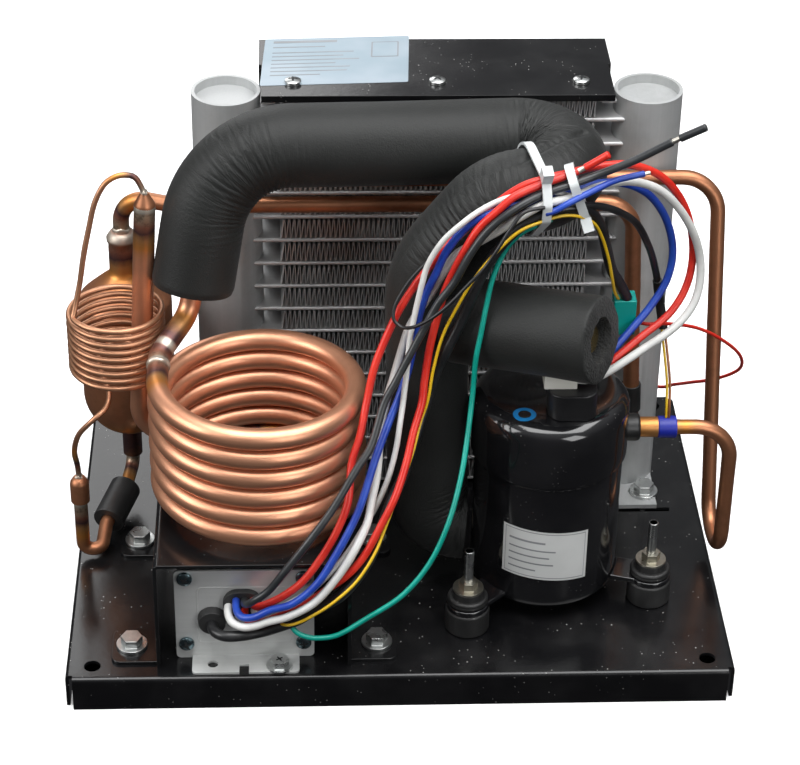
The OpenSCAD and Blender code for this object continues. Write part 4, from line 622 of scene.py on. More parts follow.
def copper_and_foam(f):
    """Finishes of the pipes and of the foam."""
    f["copper"] = copper("copper_drawn", (0.82, 0.41, 0.25), (0.4, 0.16, 0.08), 0.38, 0.22)
    f["copper_aged"] = copper("copper_aged", (0.52, 0.23, 0.12), (0.2, 0.095, 0.055), 0.4, 0.6)
    f["copper_dull"] = copper("copper_dull", (0.56, 0.29, 0.17), (0.3, 0.15, 0.09), 0.4, 0.5)
    f["foam"] = foam_finish("foam_skin", (0.009, 0.0095, 0.009), (0.0145, 0.0155, 0.0148))
    f["foam_cut"] = foam_finish("foam_cut", (0.012, 0.012, 0.012), (0.026, 0.027, 0.026), True)


def paints_and_plastics(f):
    """Finishes of painted, moulded and printed pieces."""
    f["enamel"] = plain("black_enamel", (0.006, 0.006, 0.007), (0.011, 0.011, 0.012), 0.13, grain=260.0,
                        depth=0.05, spread=0.08, dust=0.35, Coat_Weight=0.6, Coat_Roughness=0.06)
    f["tray"] = plain("tray_paint", (0.004, 0.004, 0.0045), (0.008, 0.008, 0.0085), 0.2, grain=420.0,
                      depth=0.1, spread=0.1, dust=0.65, dust_scale=330.0)
    f["shroud"] = plain("shroud_paint", (0.005, 0.005, 0.0055), (0.009, 0.009, 0.0095), 0.17, grain=380.0,
                        depth=0.08, spread=0.1, dust=0.5)
    f["plastic"] = plain("black_plastic", (0.012, 0.012, 0.013), (0.022, 0.022, 0.023), 0.38, grain=1300.0,
                         depth=0.15, dust=0.2)
    f["rubber"] = plain("black_rubber", (0.012, 0.012, 0.012), (0.026, 0.026, 0.026), 0.5, grain=1100.0,
                        depth=0.25, dust=0.35)
    f["sleeve"] = plain("shrink_sleeve", (0.008, 0.008, 0.008), (0.02, 0.02, 0.02), 0.4, grain=500.0,
                        depth=0.3)
    f["nylon"] = plain("natural_nylon", (0.6, 0.63, 0.63), (0.68, 0.71, 0.71), 0.34, grain=600.0, depth=0.08,
                       Subsurface_Weight=0.25, Subsurface_Radius=(0.002, 0.002, 0.002))
    f["white_plug"] = plain("ivory_plug", (0.74, 0.73, 0.66), (0.82, 0.81, 0.75), 0.42, grain=600.0,
                            depth=0.1)
    f["connector"] = plain("teal_connector", (0.0, 0.29, 0.25), (0.01, 0.36, 0.31), 0.4, grain=500.0,
                           depth=0.1)
    f["bead"] = plain("blue_bead", (0.01, 0.02, 0.3), (0.02, 0.03, 0.4), 0.4, grain=500.0, depth=0.1)
    # painted shade: a dark finish that stands for the shade inside the screws' cross recesses
    f["recess"] = plain("recess_painted_shade", (0.006, 0.007, 0.008), (0.014, 0.015, 0.016), 0.5, depth=0.02)
    f["label"] = plain("label_paper", (0.6, 0.61, 0.6), (0.66, 0.67, 0.66), 0.42, depth=0.05)
    f["silver_label"] = plain("silver_label", (0.27, 0.34, 0.39), (0.34, 0.4, 0.45), 0.42, grain=700.0,
                              patch=26.0, depth=0.06, spread=0.2, Metallic=0.25)
    f["label_line"] = plain("label_line", (0.2, 0.21, 0.22), (0.26, 0.27, 0.28), 0.5, depth=0.02)
    f["mark"] = plain("blue_mark", (0.0, 0.13, 0.42), (0.01, 0.2, 0.5), 0.4, depth=0.02)
    for key, (a, b) in INSULATION.items():
        f["wire_" + key] = plain("insulation_" + key, a, b, 0.33, grain=420.0, patch=90.0, depth=0.12,
                                 spread=0.12)


def bare_metals(f):
    """Finishes of aluminium, steel, brass, zinc plate and tinned strands."""
    f["header"] = metal_sheet("header_aluminium", (0.5, 0.51, 0.51), (0.42, 0.43, 0.43), 0.5,
                              (900.0, 900.0, 24.0), 0.4, 34.0, 0.4)
    f["fin"] = metal_sheet("fin_aluminium", (0.8, 0.8, 0.8), (0.66, 0.66, 0.66), 0.45, (300.0, 900.0, 900.0),
                           0.4, 60.0, 0.5)
    f["flat_tube"] = metal_sheet("tube_aluminium", (0.66, 0.66, 0.66), (0.52, 0.52, 0.52), 0.42,
                                 (20.0, 900.0, 900.0), 0.35, 40.0, 0.5)
    f["plate"] = metal_sheet("mill_sheet", (0.66, 0.67, 0.66), (0.56, 0.57, 0.56), 0.4, (20.0, 700.0, 700.0),
                             0.25, 30.0, 0.4)
    f["zinc"] = metal_sheet("bright_zinc", (0.72, 0.73, 0.72), (0.56, 0.58, 0.57), 0.3, EVEN, 0.3, 160.0)
    f["blue_zinc"] = metal_sheet("blue_zinc", (0.2, 0.27, 0.29), (0.1, 0.15, 0.17), 0.24, EVEN, 0.3, 160.0)
    f["nut_zinc"] = metal_sheet("yellow_zinc", (0.6, 0.57, 0.48), (0.42, 0.4, 0.34), 0.32, EVEN, 0.35, 160.0)
    f["steel"] = metal_sheet("ground_steel", (0.55, 0.55, 0.55), (0.42, 0.42, 0.42), 0.35)
    f["wire_guard"] = metal_sheet("guard_chrome", (0.7, 0.7, 0.7), (0.55, 0.55, 0.55), 0.2)
    f["brass"] = metal_sheet("turned_brass", (0.8, 0.62, 0.27), (0.62, 0.45, 0.17), 0.24,
                             (300.0, 300.0, 300.0), 0.2, 200.0)
    f["tinned"] = metal_sheet("tinned_strands", (0.8, 0.78, 0.7), (0.62, 0.58, 0.5), 0.36,
                              (900.0, 900.0, 900.0), 0.2, 300.0)


FINISH = {}
"""Every finish by its short name, filled by main."""


# Routes of the wires
ROUTES = {
    "lead_black": (1.6, [
        (-65, -93.2, 48.5), (-65, -96.5, 49.5), (-63.8, -101, 52.5), (-61, -103.8, 56.5), (-55, -104.5, 62),
        (-48.5, -104.5, 71.5), (-39, -102.5, 84.5), (-29, -96.5, 96.5), (-19.5, -88.5, 110),
        (-13, -82.5, 118.5), (-8, -74, 132), (-3.5, -70.5, 140), (2, -67.4, 150.3), (8, -64.6, 161.8),
        (13.5, -62.6, 172.4), (19.5, -62.2, 181.6), (25, -61.6, 193.2), (31, -60.3, 202.4),
        (37.5, -59.3, 208.9), (46, -57, 214.1), (54, -53.8, 216.7), (65, -51.1, 219.2), (76, -48.3, 222.2),
        (90, -49, 229), (103, -50, 237), (115.5, -52, 244.5),
    ]),
    "motor_red": (1.6, [
        (-61.5, -93.2, 48.5), (-61.5, -96, 48.5), (-60, -98.7, 49.5), (-56.5, -100.3, 51.7), (-49, -101.5, 57),
        (-41, -101.5, 64.5), (-33.5, -98.5, 74), (-27, -95, 85), (-22.5, -90, 96), (-21, -81.5, 108.5),
        (-17.5, -75, 117.5), (-14.5, -67, 129.5), (-11, -62, 144), (-4, -56.5, 160), (0, -54.9, 167.8),
        (5.5, -52.2, 175.8), (11, -50.9, 183.2), (15, -50.3, 189.6), (21, -51, 195.8), (28, -50.8, 202.9),
        (38, -48.9, 211.4), (46, -48, 216.8), (54, -47.6, 219.7), (66, -44.5, 221.2), (78, -40.1, 221.6),
        (91, -36, 219.5), (104, -32, 211.5), (114, -29, 197), (119, -28, 179), (118, -31, 163),
        (111, -36, 151), (98, -43, 143), (84, -50.7, 135), (77, -52.6, 131.7), (71.5, -52.6, 131.5),
    ]),
    "motor_blue": (1.6, [
        (-68.5, -93.2, 48.5), (-68.5, -96.5, 48), (-67.6, -100.2, 47.3), (-65, -103, 47.2),
        (-60.5, -104.3, 48.6), (-54.5, -104.4, 52), (-45, -104.5, 55.5), (-35, -103.5, 65), (-26.5, -99, 78),
        (-19.5, -93, 90), (-15.5, -88, 99.5), (-11.5, -80.5, 109.5), (-6.5, -73, 120.5), (-2, -67.1, 129.5),
        (2, -63.3, 141.2), (4.5, -59.7, 153.4), (6, -57.5, 162.1), (9, -55, 172), (13, -54.7, 181.9),
        (16.5, -54.2, 190.8), (22, -54.2, 199.4), (29, -54, 205.9), (37, -53.6, 209.2), (45, -53.3, 211.5),
        (54, -51.5, 213), (60, -47.7, 211.7), (67, -44, 211.9), (76, -38.8, 212.7), (88, -34.5, 210.5),
        (99, -31.5, 203.5), (107, -29, 191), (111, -28, 176), (109.5, -29.5, 163), (103, -33.5, 152.5),
        (94, -39.5, 144), (84, -46.8, 136), (77, -49, 131.7), (71.5, -49, 131.5),
    ]),
    "motor_white": (1.7, [
        (-71.8, -93.2, 45.5), (-71.8, -96.5, 44.8), (-70.3, -101, 43.6), (-66, -104, 43.2),
        (-61, -104.8, 44.2), (-55, -104.8, 46.5), (-46.5, -104.8, 49.2), (-36, -104.3, 56),
        (-27, -101.5, 66.5), (-20.5, -98.5, 76.5), (-15, -92.3, 86), (-13, -87, 93.5), (-10.5, -80, 103),
        (-9, -70.5, 117), (-6.5, -64, 127.5), (-4, -61, 135), (-1, -57.7, 145.1), (2, -55, 154.8),
        (6, -53, 162.1), (11.5, -51.8, 171.2), (15.5, -52.1, 179.7), (21, -52, 188.8), (28.5, -53.3, 194.4),
        (37, -54.8, 200.9), (45, -56.1, 207.7), (54, -55.2, 212.8), (65, -51.6, 213.7), (77, -46.2, 215.6),
        (90, -41, 215), (104, -37, 207.5), (116, -34, 191), (122, -32, 173), (121, -36, 158),
        (113, -41.5, 148), (98, -48, 140), (84, -54.6, 134), (77, -56.2, 131.5), (71.5, -56.2, 131.5),
    ]),
    "sense_white": (1.2, [
        (-61.3, -93.2, 44), (-61.3, -95, 44), (-60, -96.8, 44.2), (-55, -97.6, 45.6), (-47, -97.8, 50),
        (-38, -98.8, 57.5), (-30, -99, 66.3), (-22, -95, 75), (-14, -86, 84), (-10, -84, 91.5),
        (-6, -81.5, 101.5), (-3, -78, 113), (-1.5, -75, 122.5), (0, -70.1, 131.6), (1.5, -65.8, 144.2),
        (2.5, -62.5, 155.4), (4.5, -59.4, 165.6), (7, -57.9, 177.9), (9.5, -56.7, 187.1), (15, -56.5, 197.2),
        (21.5, -56.6, 204.4), (29, -54.3, 209.4), (37, -52.3, 212.9), (45, -51.4, 215), (54, -49.9, 216.5),
        (61, -49.8, 214.7), (69, -46.3, 209.5), (75, -41.9, 202.2), (79, -38.5, 192.5), (82, -36, 182),
        (85, -34, 171), (88, -31, 162), (89.4, -29.5, 156),
    ]),
    "lead_red": (1.6, [
        (-65, -93.2, 43.4), (-65, -96, 43), (-63.6, -99.3, 42.7), (-60.5, -101.2, 42.8), (-56, -101.4, 44),
        (-50, -101, 46.5), (-42, -100.8, 50.3), (-31, -99.4, 58.7), (-22.7, -99.4, 66), (-16, -97.4, 74),
        (-9.5, -94, 86), (-3.5, -90, 98), (1, -82.5, 109), (4, -75.1, 119), (7.5, -69.3, 129.2),
        (8.5, -66.1, 137.4), (10.5, -62.1, 150.7), (13.5, -58.8, 163.7), (16, -57.3, 173.7),
        (19.5, -57.7, 184.1), (24, -58.5, 195.1), (29, -57.8, 203.9), (36, -56.8, 210.9), (43, -54.8, 216.4),
        (54, -51.8, 220.1), (62, -49.3, 221.9), (70, -47, 224.2), (79, -48.6, 231),
    ]),
    "signal_cable": (2.25, [
        (-78.6, -94.2, 37), (-78.3, -97, 37), (-76.8, -100, 37.1), (-74, -102.3, 37.3), (-70, -103.2, 37.6),
        (-64, -102.8, 38), (-57, -101.5, 38.7), (-49.5, -100.8, 41), (-43, -100.3, 43.5), (-35.5, -99.5, 48.5),
        (-24.5, -99.8, 56.5), (-14, -95.2, 70), (-7.5, -87.5, 86), (-4.5, -84.5, 93), (0.5, -78, 101),
        (5, -71, 112.5), (10, -62.8, 126.7), (13, -61.8, 138.5), (17.5, -61.6, 150.1), (23, -59.4, 161.9),
        (28, -57.6, 175.2), (33, -56.3, 186.4), (39.5, -55.3, 196.4), (46.5, -54.9, 203.6), (54, -53.7, 207.6),
        (62, -51.8, 208.9), (69, -49.8, 208), (75, -46.4, 203.2), (79, -43, 195), (82, -40.5, 184),
        (85, -38.5, 173), (89.5, -35.5, 164), (93, -33, 156),
    ]),
    "earth_wire": (1.1, [
        (-46, -101, 41), (-43.5, -103, 39), (-40, -103.7, 37.5), (-35, -104, 36.8), (-26.5, -104, 38.5),
        (-15, -103, 46), (-0.5, -102, 57), (10.5, -99.5, 71.5), (18, -94, 87.5), (23, -85, 103),
        (26, -75.1, 117.1), (28, -67.8, 132.3), (29, -64.8, 147), (31, -62.3, 158.5), (33, -59, 169.5),
        (35.5, -56.3, 180.9), (40, -53.3, 190.9), (46, -52.2, 198.1), (54, -51.1, 202.1), (58, -50.3, 203.2),
    ]),
    "sense_yellow": (0.65, [
        (-50, -101.6, 42.5), (-47.5, -103.4, 43.4), (-44, -104.2, 44.8), (-39, -104.2, 47.5),
        (-29.5, -104.6, 55), (-19.5, -102.6, 64.5), (-12, -98, 75), (-7, -92, 85.5), (-2, -86.5, 98),
        (3.5, -78.5, 110.5), (7, -71.1, 121.1), (10, -67.9, 129.8), (12, -65.4, 142.6), (15.5, -62.4, 156.7),
        (21.5, -61.2, 170.6), (27.5, -61.3, 182.9), (34.5, -60.8, 192.9), (44, -59.8, 202.9),
        (54, -56.9, 206.2), (62, -54.8, 207.4), (69, -53.1, 206), (75, -49.9, 201.2), (79, -46.5, 193),
        (82.5, -44, 182), (85, -41.5, 171), (87, -37.5, 162), (89.4, -33.5, 156),
    ]),
    "thin_black": (0.75, [
        (54, -58.8, 213.5), (46, -61, 212.6), (41, -63.3, 206.9), (36, -64.8, 198.4), (31, -65.8, 190.4),
        (24.5, -67.6, 183.7), (17.5, -68.9, 175.9), (11, -68.7, 169.6), (4.5, -66.4, 164.1),
        (-0.5, -62.3, 161.2), (-4, -59.5, 163.5), (-3, -57.1, 169.1), (1.5, -55.2, 177), (6.5, -54.3, 183.4),
        (11, -53.4, 187.2),
    ]),
    "lead_blue": (1.3, [
        (55, -57.4, 210.1), (59, -56.7, 211.1), (65, -55.6, 214.2), (77, -50.7, 218.1), (84, -47.5, 219.5),
        (96.5, -44, 220.5),
    ]),
    "sensor_cable": (1.5, [
        (66, -50.6, 209), (74, -47.4, 207.8), (83, -43, 203.5), (93, -38, 195), (100, -32.5, 181),
        (105, -26, 165), (108, -23, 150), (111, -26, 132), (113, -33, 116), (113, -37.5, 107),
        (113, -39, 100.6),
    ]),
    "thin_red": (0.75, [
        (97.4, -31, 144.2), (101.7, -31, 142.2), (112.8, -27, 139.6), (127.3, -18, 131.3), (141.7, -9, 117.9),
        (149.4, -2, 106.2), (150.3, 6, 94.7), (142.6, 16, 83.5), (133.8, 28, 73.8), (128, 40, 64.6),
        (124.3, 50, 56.9), (108, 61, 52), (93.2, 66, 50),
    ]),
}
# Radius of each wire, and the points of its route, in mm.
"""Radius of each wire, and the points of its route, chosen by hand, in mm."""


# Settings
class StageSettings(bpy.types.PropertyGroup):
    """Lights of the picture."""

    key: FloatProperty(name="Key Light", description="Power of the large light above",
                       default=27.0, min=0.0, max=400.0, unit="POWER")
    side: FloatProperty(name="Side Light", description="Power of the light at the left",
                        default=12.0, min=0.0, max=200.0, unit="POWER")
    sky: FloatProperty(name="Surroundings", description="Brightness of the room",
                       default=0.55, min=0.0, max=5.0)


class FoamSettings(bpy.types.PropertyGroup):
    """Folds of the foam tubes."""

    wrinkle: FloatProperty(name="Wrinkle Depth", description="Depth of a wrinkle inside a bend",
                           default=0.0009, min=0.0, max=0.004, unit="LENGTH")
    spacing: FloatProperty(name="Wrinkle Spacing", description="Distance between wrinkles",
                           default=0.0027, min=0.001, max=0.02, unit="LENGTH")
    wave: FloatProperty(name="Unevenness", description="Slow unevenness of the skin",
                        default=0.00022, min=0.0, max=0.002, unit="LENGTH")


class CopperSettings(bpy.types.PropertyGroup):
    """Heat marks and hand bends of the pipes."""

    heat: FloatProperty(name="Heat Reach", description="How far a brazing flame has darkened a pipe",
                        default=0.016, min=0.001, max=0.1, unit="LENGTH")
    solder: FloatProperty(name="Solder Width", description="Width of the solder round a joint",
                          default=0.0016, min=0.0, max=0.01, unit="LENGTH")
    flat: FloatProperty(name="Unevenness", description="Unevenness of a bent pipe",
                        default=0.00005, min=0.0, max=0.0005, unit="LENGTH")


class FinSettings(bpy.types.PropertyGroup):
    """Fins of the condenser."""

    waves: IntProperty(name="Fins per Row", description="Folds of one row of fins",
                       default=62, min=20, max=140)
    thickness: FloatProperty(name="Fin Thickness", description="Thickness of the folded strip",
                             default=0.00028, min=0.00005, max=0.0005, unit="LENGTH")


class WireSettings(bpy.types.PropertyGroup):
    """Fineness of the wires."""

    steps: IntProperty(name="Curve Steps", description="Steps between two points of a route",
                       default=7, min=2, max=16)
    sides: IntProperty(name="Sides", description="Sides of a wire", default=20, min=8, max=48)


# Picture
CAMERA_AT = (-0.0425, -0.9089, 0.6948)
CAMERA_TURN = (33.45, 2.8, 1.04)
"""Pitch down, turn to the right and roll, in degrees."""
CAMERA_LENS = 113.175
SENSOR = 36.0
LAMPS = {
    "key": ((0.15, -0.2, 1.3), (1.5, 1.1), (0, 0, 0.1)),
    "side": ((-1.25, -0.45, 0.75), (0.8, 0.9), (0, 0, 0.12)),
    "front": ((0.75, -1.3, 0.55), (0.7, 0.6), (0, 0, 0.1)),
    "back": ((-0.4, 1.3, 0.8), (0.8, 0.7), (0, 0, 0.1)),
}
"""Place, size and aim of each lamp, in metres."""
FRONT_SHARE, BACK_SHARE = 0.5, 0.4
"""Power of the front and back lamps, as shares of the side light's."""
FLOOR_HALF = 6000.0
UNDER_PAN = ((0.1365, 0.1385), (0.0995, 0.1015))
"""Inner and outer edge of the floor's shade under the pan, to the side and to the back, in metres."""


def matrix_of(*columns):
    """Matrix of three directions and a place."""
    m = Matrix.Identity(4)
    for k, column in enumerate(columns):
        for row in range(3):
            m[row][k] = column[row]
    return m


class ChillerCommand:
    """What every command of the panel shares."""

    bl_options = {"REGISTER", "UNDO"}


class OBJECT_OT_chiller_stage(ChillerCommand, bpy.types.Operator):
    """Camera, room, lights and floor"""

    bl_idname = "object.chiller_stage"
    bl_label = "Stage"

    def execute(self, context):
        s = context.scene.chiller_stage
        self.camera(context)
        for name, power in (("key", s.key), ("side", s.side), ("front", s.side * FRONT_SHARE),
                            ("back", s.side * BACK_SHARE)):
            self.lamp(context, name, power)
        self.room(context, s.sky)
        corners = [(x * FLOOR_HALF, y * FLOOR_HALF, 0) for x, y in ((-1, -1), (1, -1), (1, 1), (-1, 1))]
        floor = add_object("floor", corners, [(0, 1, 2, 3)], self.floor_paint())
        floor.visible_diffuse = floor.visible_glossy = floor.visible_transmission = False
        return {"FINISHED"}

    def camera(self, context):
        """Camera turned by pitch and yaw, then rolled about its view."""
        pitch, yaw, roll = (math.radians(a) for a in CAMERA_TURN)
        ahead = np.array((math.sin(yaw) * math.cos(pitch), math.cos(yaw) * math.cos(pitch), -math.sin(pitch)))
        right = np.array((math.cos(yaw), -math.sin(yaw), 0.0))
        up = np.cross(right, ahead)
        c, s = math.cos(roll), math.sin(roll)
        right, up = c * right + s * up, -s * right + c * up
        data = bpy.data.cameras.new("camera")
        data.lens, data.sensor_width = CAMERA_LENS, SENSOR
        data.clip_start, data.clip_end = 0.05, 20.0
        camera = bpy.data.objects.new("camera", data)
        camera.matrix_world = matrix_of(right, up, -ahead, CAMERA_AT)
        context.scene.collection.objects.link(camera)
        context.scene.camera = camera
        context.scene.view_settings.view_transform = "Standard"

    def lamp(self, context, name, power):
        """Rectangular lamp that faces its aim."""
        at, size, aim = LAMPS[name]
        lamp = bpy.data.lights.new(name, "AREA")
        lamp.shape, (lamp.size, lamp.size_y), lamp.energy = "RECTANGLE", size, power
        obj = bpy.data.objects.new(name, lamp)
        back = unit(np.subtract(at, aim))
        side = unit(np.cross((0, 1, 0.01), back))
        obj.matrix_world = matrix_of(side, np.cross(back, side), back, at)
        obj.visible_camera = False
        context.scene.collection.objects.link(obj)

    def room(self, context, strength):
        """Room that is dark below and bright above, and plain white to the camera."""
        world = bpy.data.worlds.new("room")
        context.scene.world = world
        world.use_nodes = True
        g = Graph(world.node_tree)
        g.tree.nodes.clear()
        ray = g.node("ShaderNodeLightPath").outputs["Is Camera Ray"]
        where = g.node("ShaderNodeTexCoord").outputs["Generated"]
        height = g.node("ShaderNodeSeparateXYZ", {0: where}).outputs[2]
        soft = g.blend(g.ramp(height, 0.1, 1.0), (0.07, 0.07, 0.075, 1), (0.9, 0.92, 0.95, 1))
        lit = g.node("ShaderNodeBackground", {"Color": soft, "Strength": strength}).outputs[0]
        white = g.node("ShaderNodeBackground", {"Color": (1, 1, 1, 1), "Strength": 1.0}).outputs[0]
        mix = g.node("ShaderNodeMixShader", {0: ray, 1: lit, 2: white}).outputs[0]
        g.tree.links.new(mix, g.node("ShaderNodeOutputWorld").inputs[0])

    def floor_paint(self):
        """White floor that glows a little, but stays dark under the pan, where no light gets."""
        m = bpy.data.materials.new("floor_white")
        m.use_nodes = True
        g = Graph(m.node_tree)
        shader = m.node_tree.nodes["Principled BSDF"]
        place = g.node("ShaderNodeSeparateXYZ", {0: g.node("ShaderNodeTexCoord").outputs["Object"]}).outputs
        beyond = [g.ramp(g.math("ABSOLUTE", place[k]), *edges) for k, edges in enumerate(UNDER_PAN)]
        open_air = g.math("MAXIMUM", *beyond)
        white = g.blend(open_air, (0.02, 0.02, 0.02, 1), (0.86, 0.86, 0.86, 1))
        g.tree.links.new(white, shader.inputs["Base Color"])
        g.tree.links.new(g.times(open_air, 0.3), shader.inputs["Emission Strength"])
        shader.inputs["Roughness"].default_value = 0.9
        shader.inputs["Specular IOR Level"].default_value = 0.1
        shader.inputs["Emission Color"].default_value = (1, 1, 1, 1)
        return m


# Wires
WIRE_ENDS = {
    "lead_black": ("connector", "stiff", 14.5, 10.5), "lead_red": ("connector", "stiff", 14.5, 10.5),
    "lead_blue": ("bare", "stiff", 2.6, 0.0), "thin_black": ("bare", "medium", 2.2, 0.0),
}
"""Wires that end in the air: far end, stiffness, length past the insulation, and length of the slug."""
JOINED_END = ("object", "medium", 0.0, 0.0)
WIRE_PAINT = {
    "lead_black": "wire_grey", "lead_red": "wire_red", "lead_blue": "wire_blue", "motor_red": "wire_red",
    "motor_blue": "wire_blue", "motor_white": "wire_white", "sense_white": "wire_white",
    "sense_yellow": "wire_yellow", "earth_wire": "wire_green", "thin_red": "wire_red",
    "thin_black": "wire_black", "signal_cable": "wire_black", "sensor_cable": "wire_black",
}
STRAND_SHARE = 0.66
"""Radius of the bare strands, as a share of the insulation's."""
CORES = ((-1, "wire_yellow"), (1, "copper_aged"))
"""Side and finish of the two cores of the sensor cable."""
CORE_R, CORE_APART = 0.55, 0.62
CORE_LENGTH, CORE_HIDDEN = 40, 0.5
SLEEVE_FROM, SLEEVE_TO, SLEEVE_SHARE = 62, 39, 1.32
"""Start and stop of the sensor cable's sleeve, from its far end, and the sleeve's radius over the cable's."""


def cut_path(path, a, b):
    """The stretch of a path between two lengths along it."""
    s = distances(path)
    inside = path[(s > a + 0.05) & (s < b - 0.05)]
    ends = [np.array([np.interp(x, s, path[:, k]) for k in range(3)]) for x in (a, b)]
    return np.vstack([ends[0], inside, ends[1]])


class OBJECT_OT_chiller_wires(ChillerCommand, bpy.types.Operator):
    """Wires with their insulation, bare strands, slugs and sleeves"""

    bl_idname = "object.chiller_wires"
    bl_label = "Wires"

    def execute(self, context):
        s = context.scene.chiller_wires
        for name, (radius, points) in ROUTES.items():
            path = smooth(points, s.steps)
            total = distances(path)[-1]
            finish = FINISH[WIRE_PAINT[name]]
            far, stiffness, bare, slug = WIRE_ENDS.get(name, JOINED_END)
            line = cut_path(path, 0, total - bare) if bare else path
            extra = []
            if name == "sensor_cable":
                line = cut_path(path, 0, total - CORE_LENGTH)
                extra = self.cores(name, path, total, radius, s.sides)
            wave = 1 + 0.012 * ripple_noise(distances(line) / 9, len(name))
            wire = tube(name + "_wire", line, radius * wave, s.sides, finish, 0.35 * radius)
            if bare:
                strands = cut_path(path, total - bare - 1, total - slug)
                strands = resample(strands, min(0.4, distances(strands)[-1] / 3))
                thin = radius * STRAND_SHARE
                extra.append(tube(name + "_strands", strands, thin, s.sides, FINISH["tinned"], 0.3))
            if slug:
                end = cut_path(path, total - slug, total)
                extra.append(tube(name + "_slug", end, radius * 0.98, s.sides, finish, 0.5))
            for piece in extra:
                settle(piece)
            settle(wire, name)
        return {"FINISHED"}

    def cores(self, name, path, total, radius, sides):
        """Sleeve over the end of the sensor cable's jacket, and the two cores that leave it side by side."""
        rest = cut_path(path, total - CORE_LENGTH - CORE_HIDDEN, total)
        sleeve = cut_path(path, total - SLEEVE_FROM, total - SLEEVE_TO)
        pieces = [tube(name + "_shrink", sleeve, radius * SLEEVE_SHARE, sides, FINISH["sleeve"], 0.4)]
        _, across, _ = axes_along(rest)
        for side, paint in CORES:
            line = rest + across * side * CORE_APART
            pieces.append(tube(f"{name}_core{side}", line, CORE_R, 12, FINISH[paint], 0.2))
        return pieces


# Foam
SUCTION_CORNERS = [(-75.5, 2, 208), (67, 8, 208), (67, -30.3, 207), (38, -30.3, 203.5), (10.5, -30.3, 168),
                   (13.71, -29.8, 42)]
LEG_FOOT = np.array((-85.6, -11.0, 150.0))
FOAM_END = (24.21, -29.81, 42)
FOAM_R = 17.5
FOAM_BENDS = (38, 19, 19, 26, 40, 15.4)
FOAM_SIDES = 96
BRANCH_R, BRANCH_BORE, BRANCH_START, BRANCH_END = 18.0, 9.35, 14, 78.5
"""Radius and bore of the service branch's foam, and where it starts and ends along the branch."""
CREASES = [((57, -12, 221), 17, 1.0), ((26, -45, 203), 19, 1.0), ((38, -44, 213), 14, 0.9),
           ((12, -43, 189), 13, 0.8), ((-64, -13, 206), 18, 0.8)]
"""Places on the foam that are creased beyond the inside of a bend: middle, reach and strength."""
FOLD = (np.array((75.0, -14.0, 224.0)), np.array((45.0, -36.5, 221.0)))
"""Ends of the deep fold where the foam doubles back."""
FOLD_DEPTH, FOLD_WIDTH = 3.0, 1.5
BEND_SPREAD = 34
"""Points to each side over which a bend's pull on the skin is spread."""


def wrinkled(path, radius, sides, depth, spacing, wave, seed):
    """Radius of a soft tube: less inside a bend, in folds across it, and in the deep fold.

    r = R + wave n(s, a) - wave - inside depth v (f(s) + 0.4 f(1.9 s)) - groove, where
    f(s) = (0.5 + 0.5 cos(2 pi (s + drift) / spacing))^2 and
    inside = clip(1.7 R (kappa cos(a - bend) + 0.4 kappa), 0, 1)
    """
    t, s, b = axes_along(path)
    d = distances(path)
    kappa = np.gradient(t, axis=0) / np.gradient(d)[:, None]
    a = np.linspace(0, 2 * math.pi, sides, endpoint=False)
    ring = np.cos(a)[None, :, None] * s[:, None] + np.sin(a)[None, :, None] * b[:, None]
    kernel = np.hanning(2 * BEND_SPREAD + 1)
    kernel /= kernel.sum()
    smoothed = np.stack([np.convolve(np.pad(kappa[:, k], BEND_SPREAD, mode="edge"), kernel, "valid")
                         for k in range(3)], 1)
    size = np.linalg.norm(smoothed, axis=1)[:, None]
    inside = np.clip(((ring * smoothed[:, None]).sum(2) + 0.4 * size) * radius * 1.7, 0, 1)
    place = path[:, None] + radius * ring
    for middle, reach, strength in CREASES:
        far = ((place - np.array(middle)) ** 2).sum(2)
        inside = np.maximum(inside, strength * np.exp(-far / reach**2))
    way = FOLD[1] - FOLD[0]
    share = np.clip((place - FOLD[0]) @ way / (way @ way), 0, 1)
    off = np.linalg.norm(place - FOLD[0] - share[..., None] * way, axis=2)
    deep = np.sin(math.pi * np.clip(share * 0.9 + 0.1, 0, 1)) ** 0.5
    groove = FOLD_DEPTH * np.exp(-((off / FOLD_WIDTH) ** 2)) * deep
    at, around = np.meshgrid(d, a, indexing="ij")
    drift = 1.6 * np.sin(2 * around + ripple_noise(at / 40, seed)) + 1.3 * ripple_noise(at / 11, seed + 1)
    fold = (0.5 + 0.5 * np.cos(2 * math.pi * (at + drift) / spacing)) ** 2
    fine = (0.5 + 0.5 * np.cos(2 * math.pi * (at * 1.9 + 1.4 * drift) / spacing)) ** 2
    vary = np.clip(0.55 + 0.45 * ripple_noise(at / 14 + 2 * around, seed + 2), 0.1, 1.4)
    slow = ripple_noise(at / 30, seed + 3) * np.cos(around + 1)
    slow = slow + ripple_noise(at / 17, seed + 4) * np.sin(2 * around)
    return radius + wave * slow - wave - inside * depth * vary * (fold + 0.4 * fine) - groove, inside


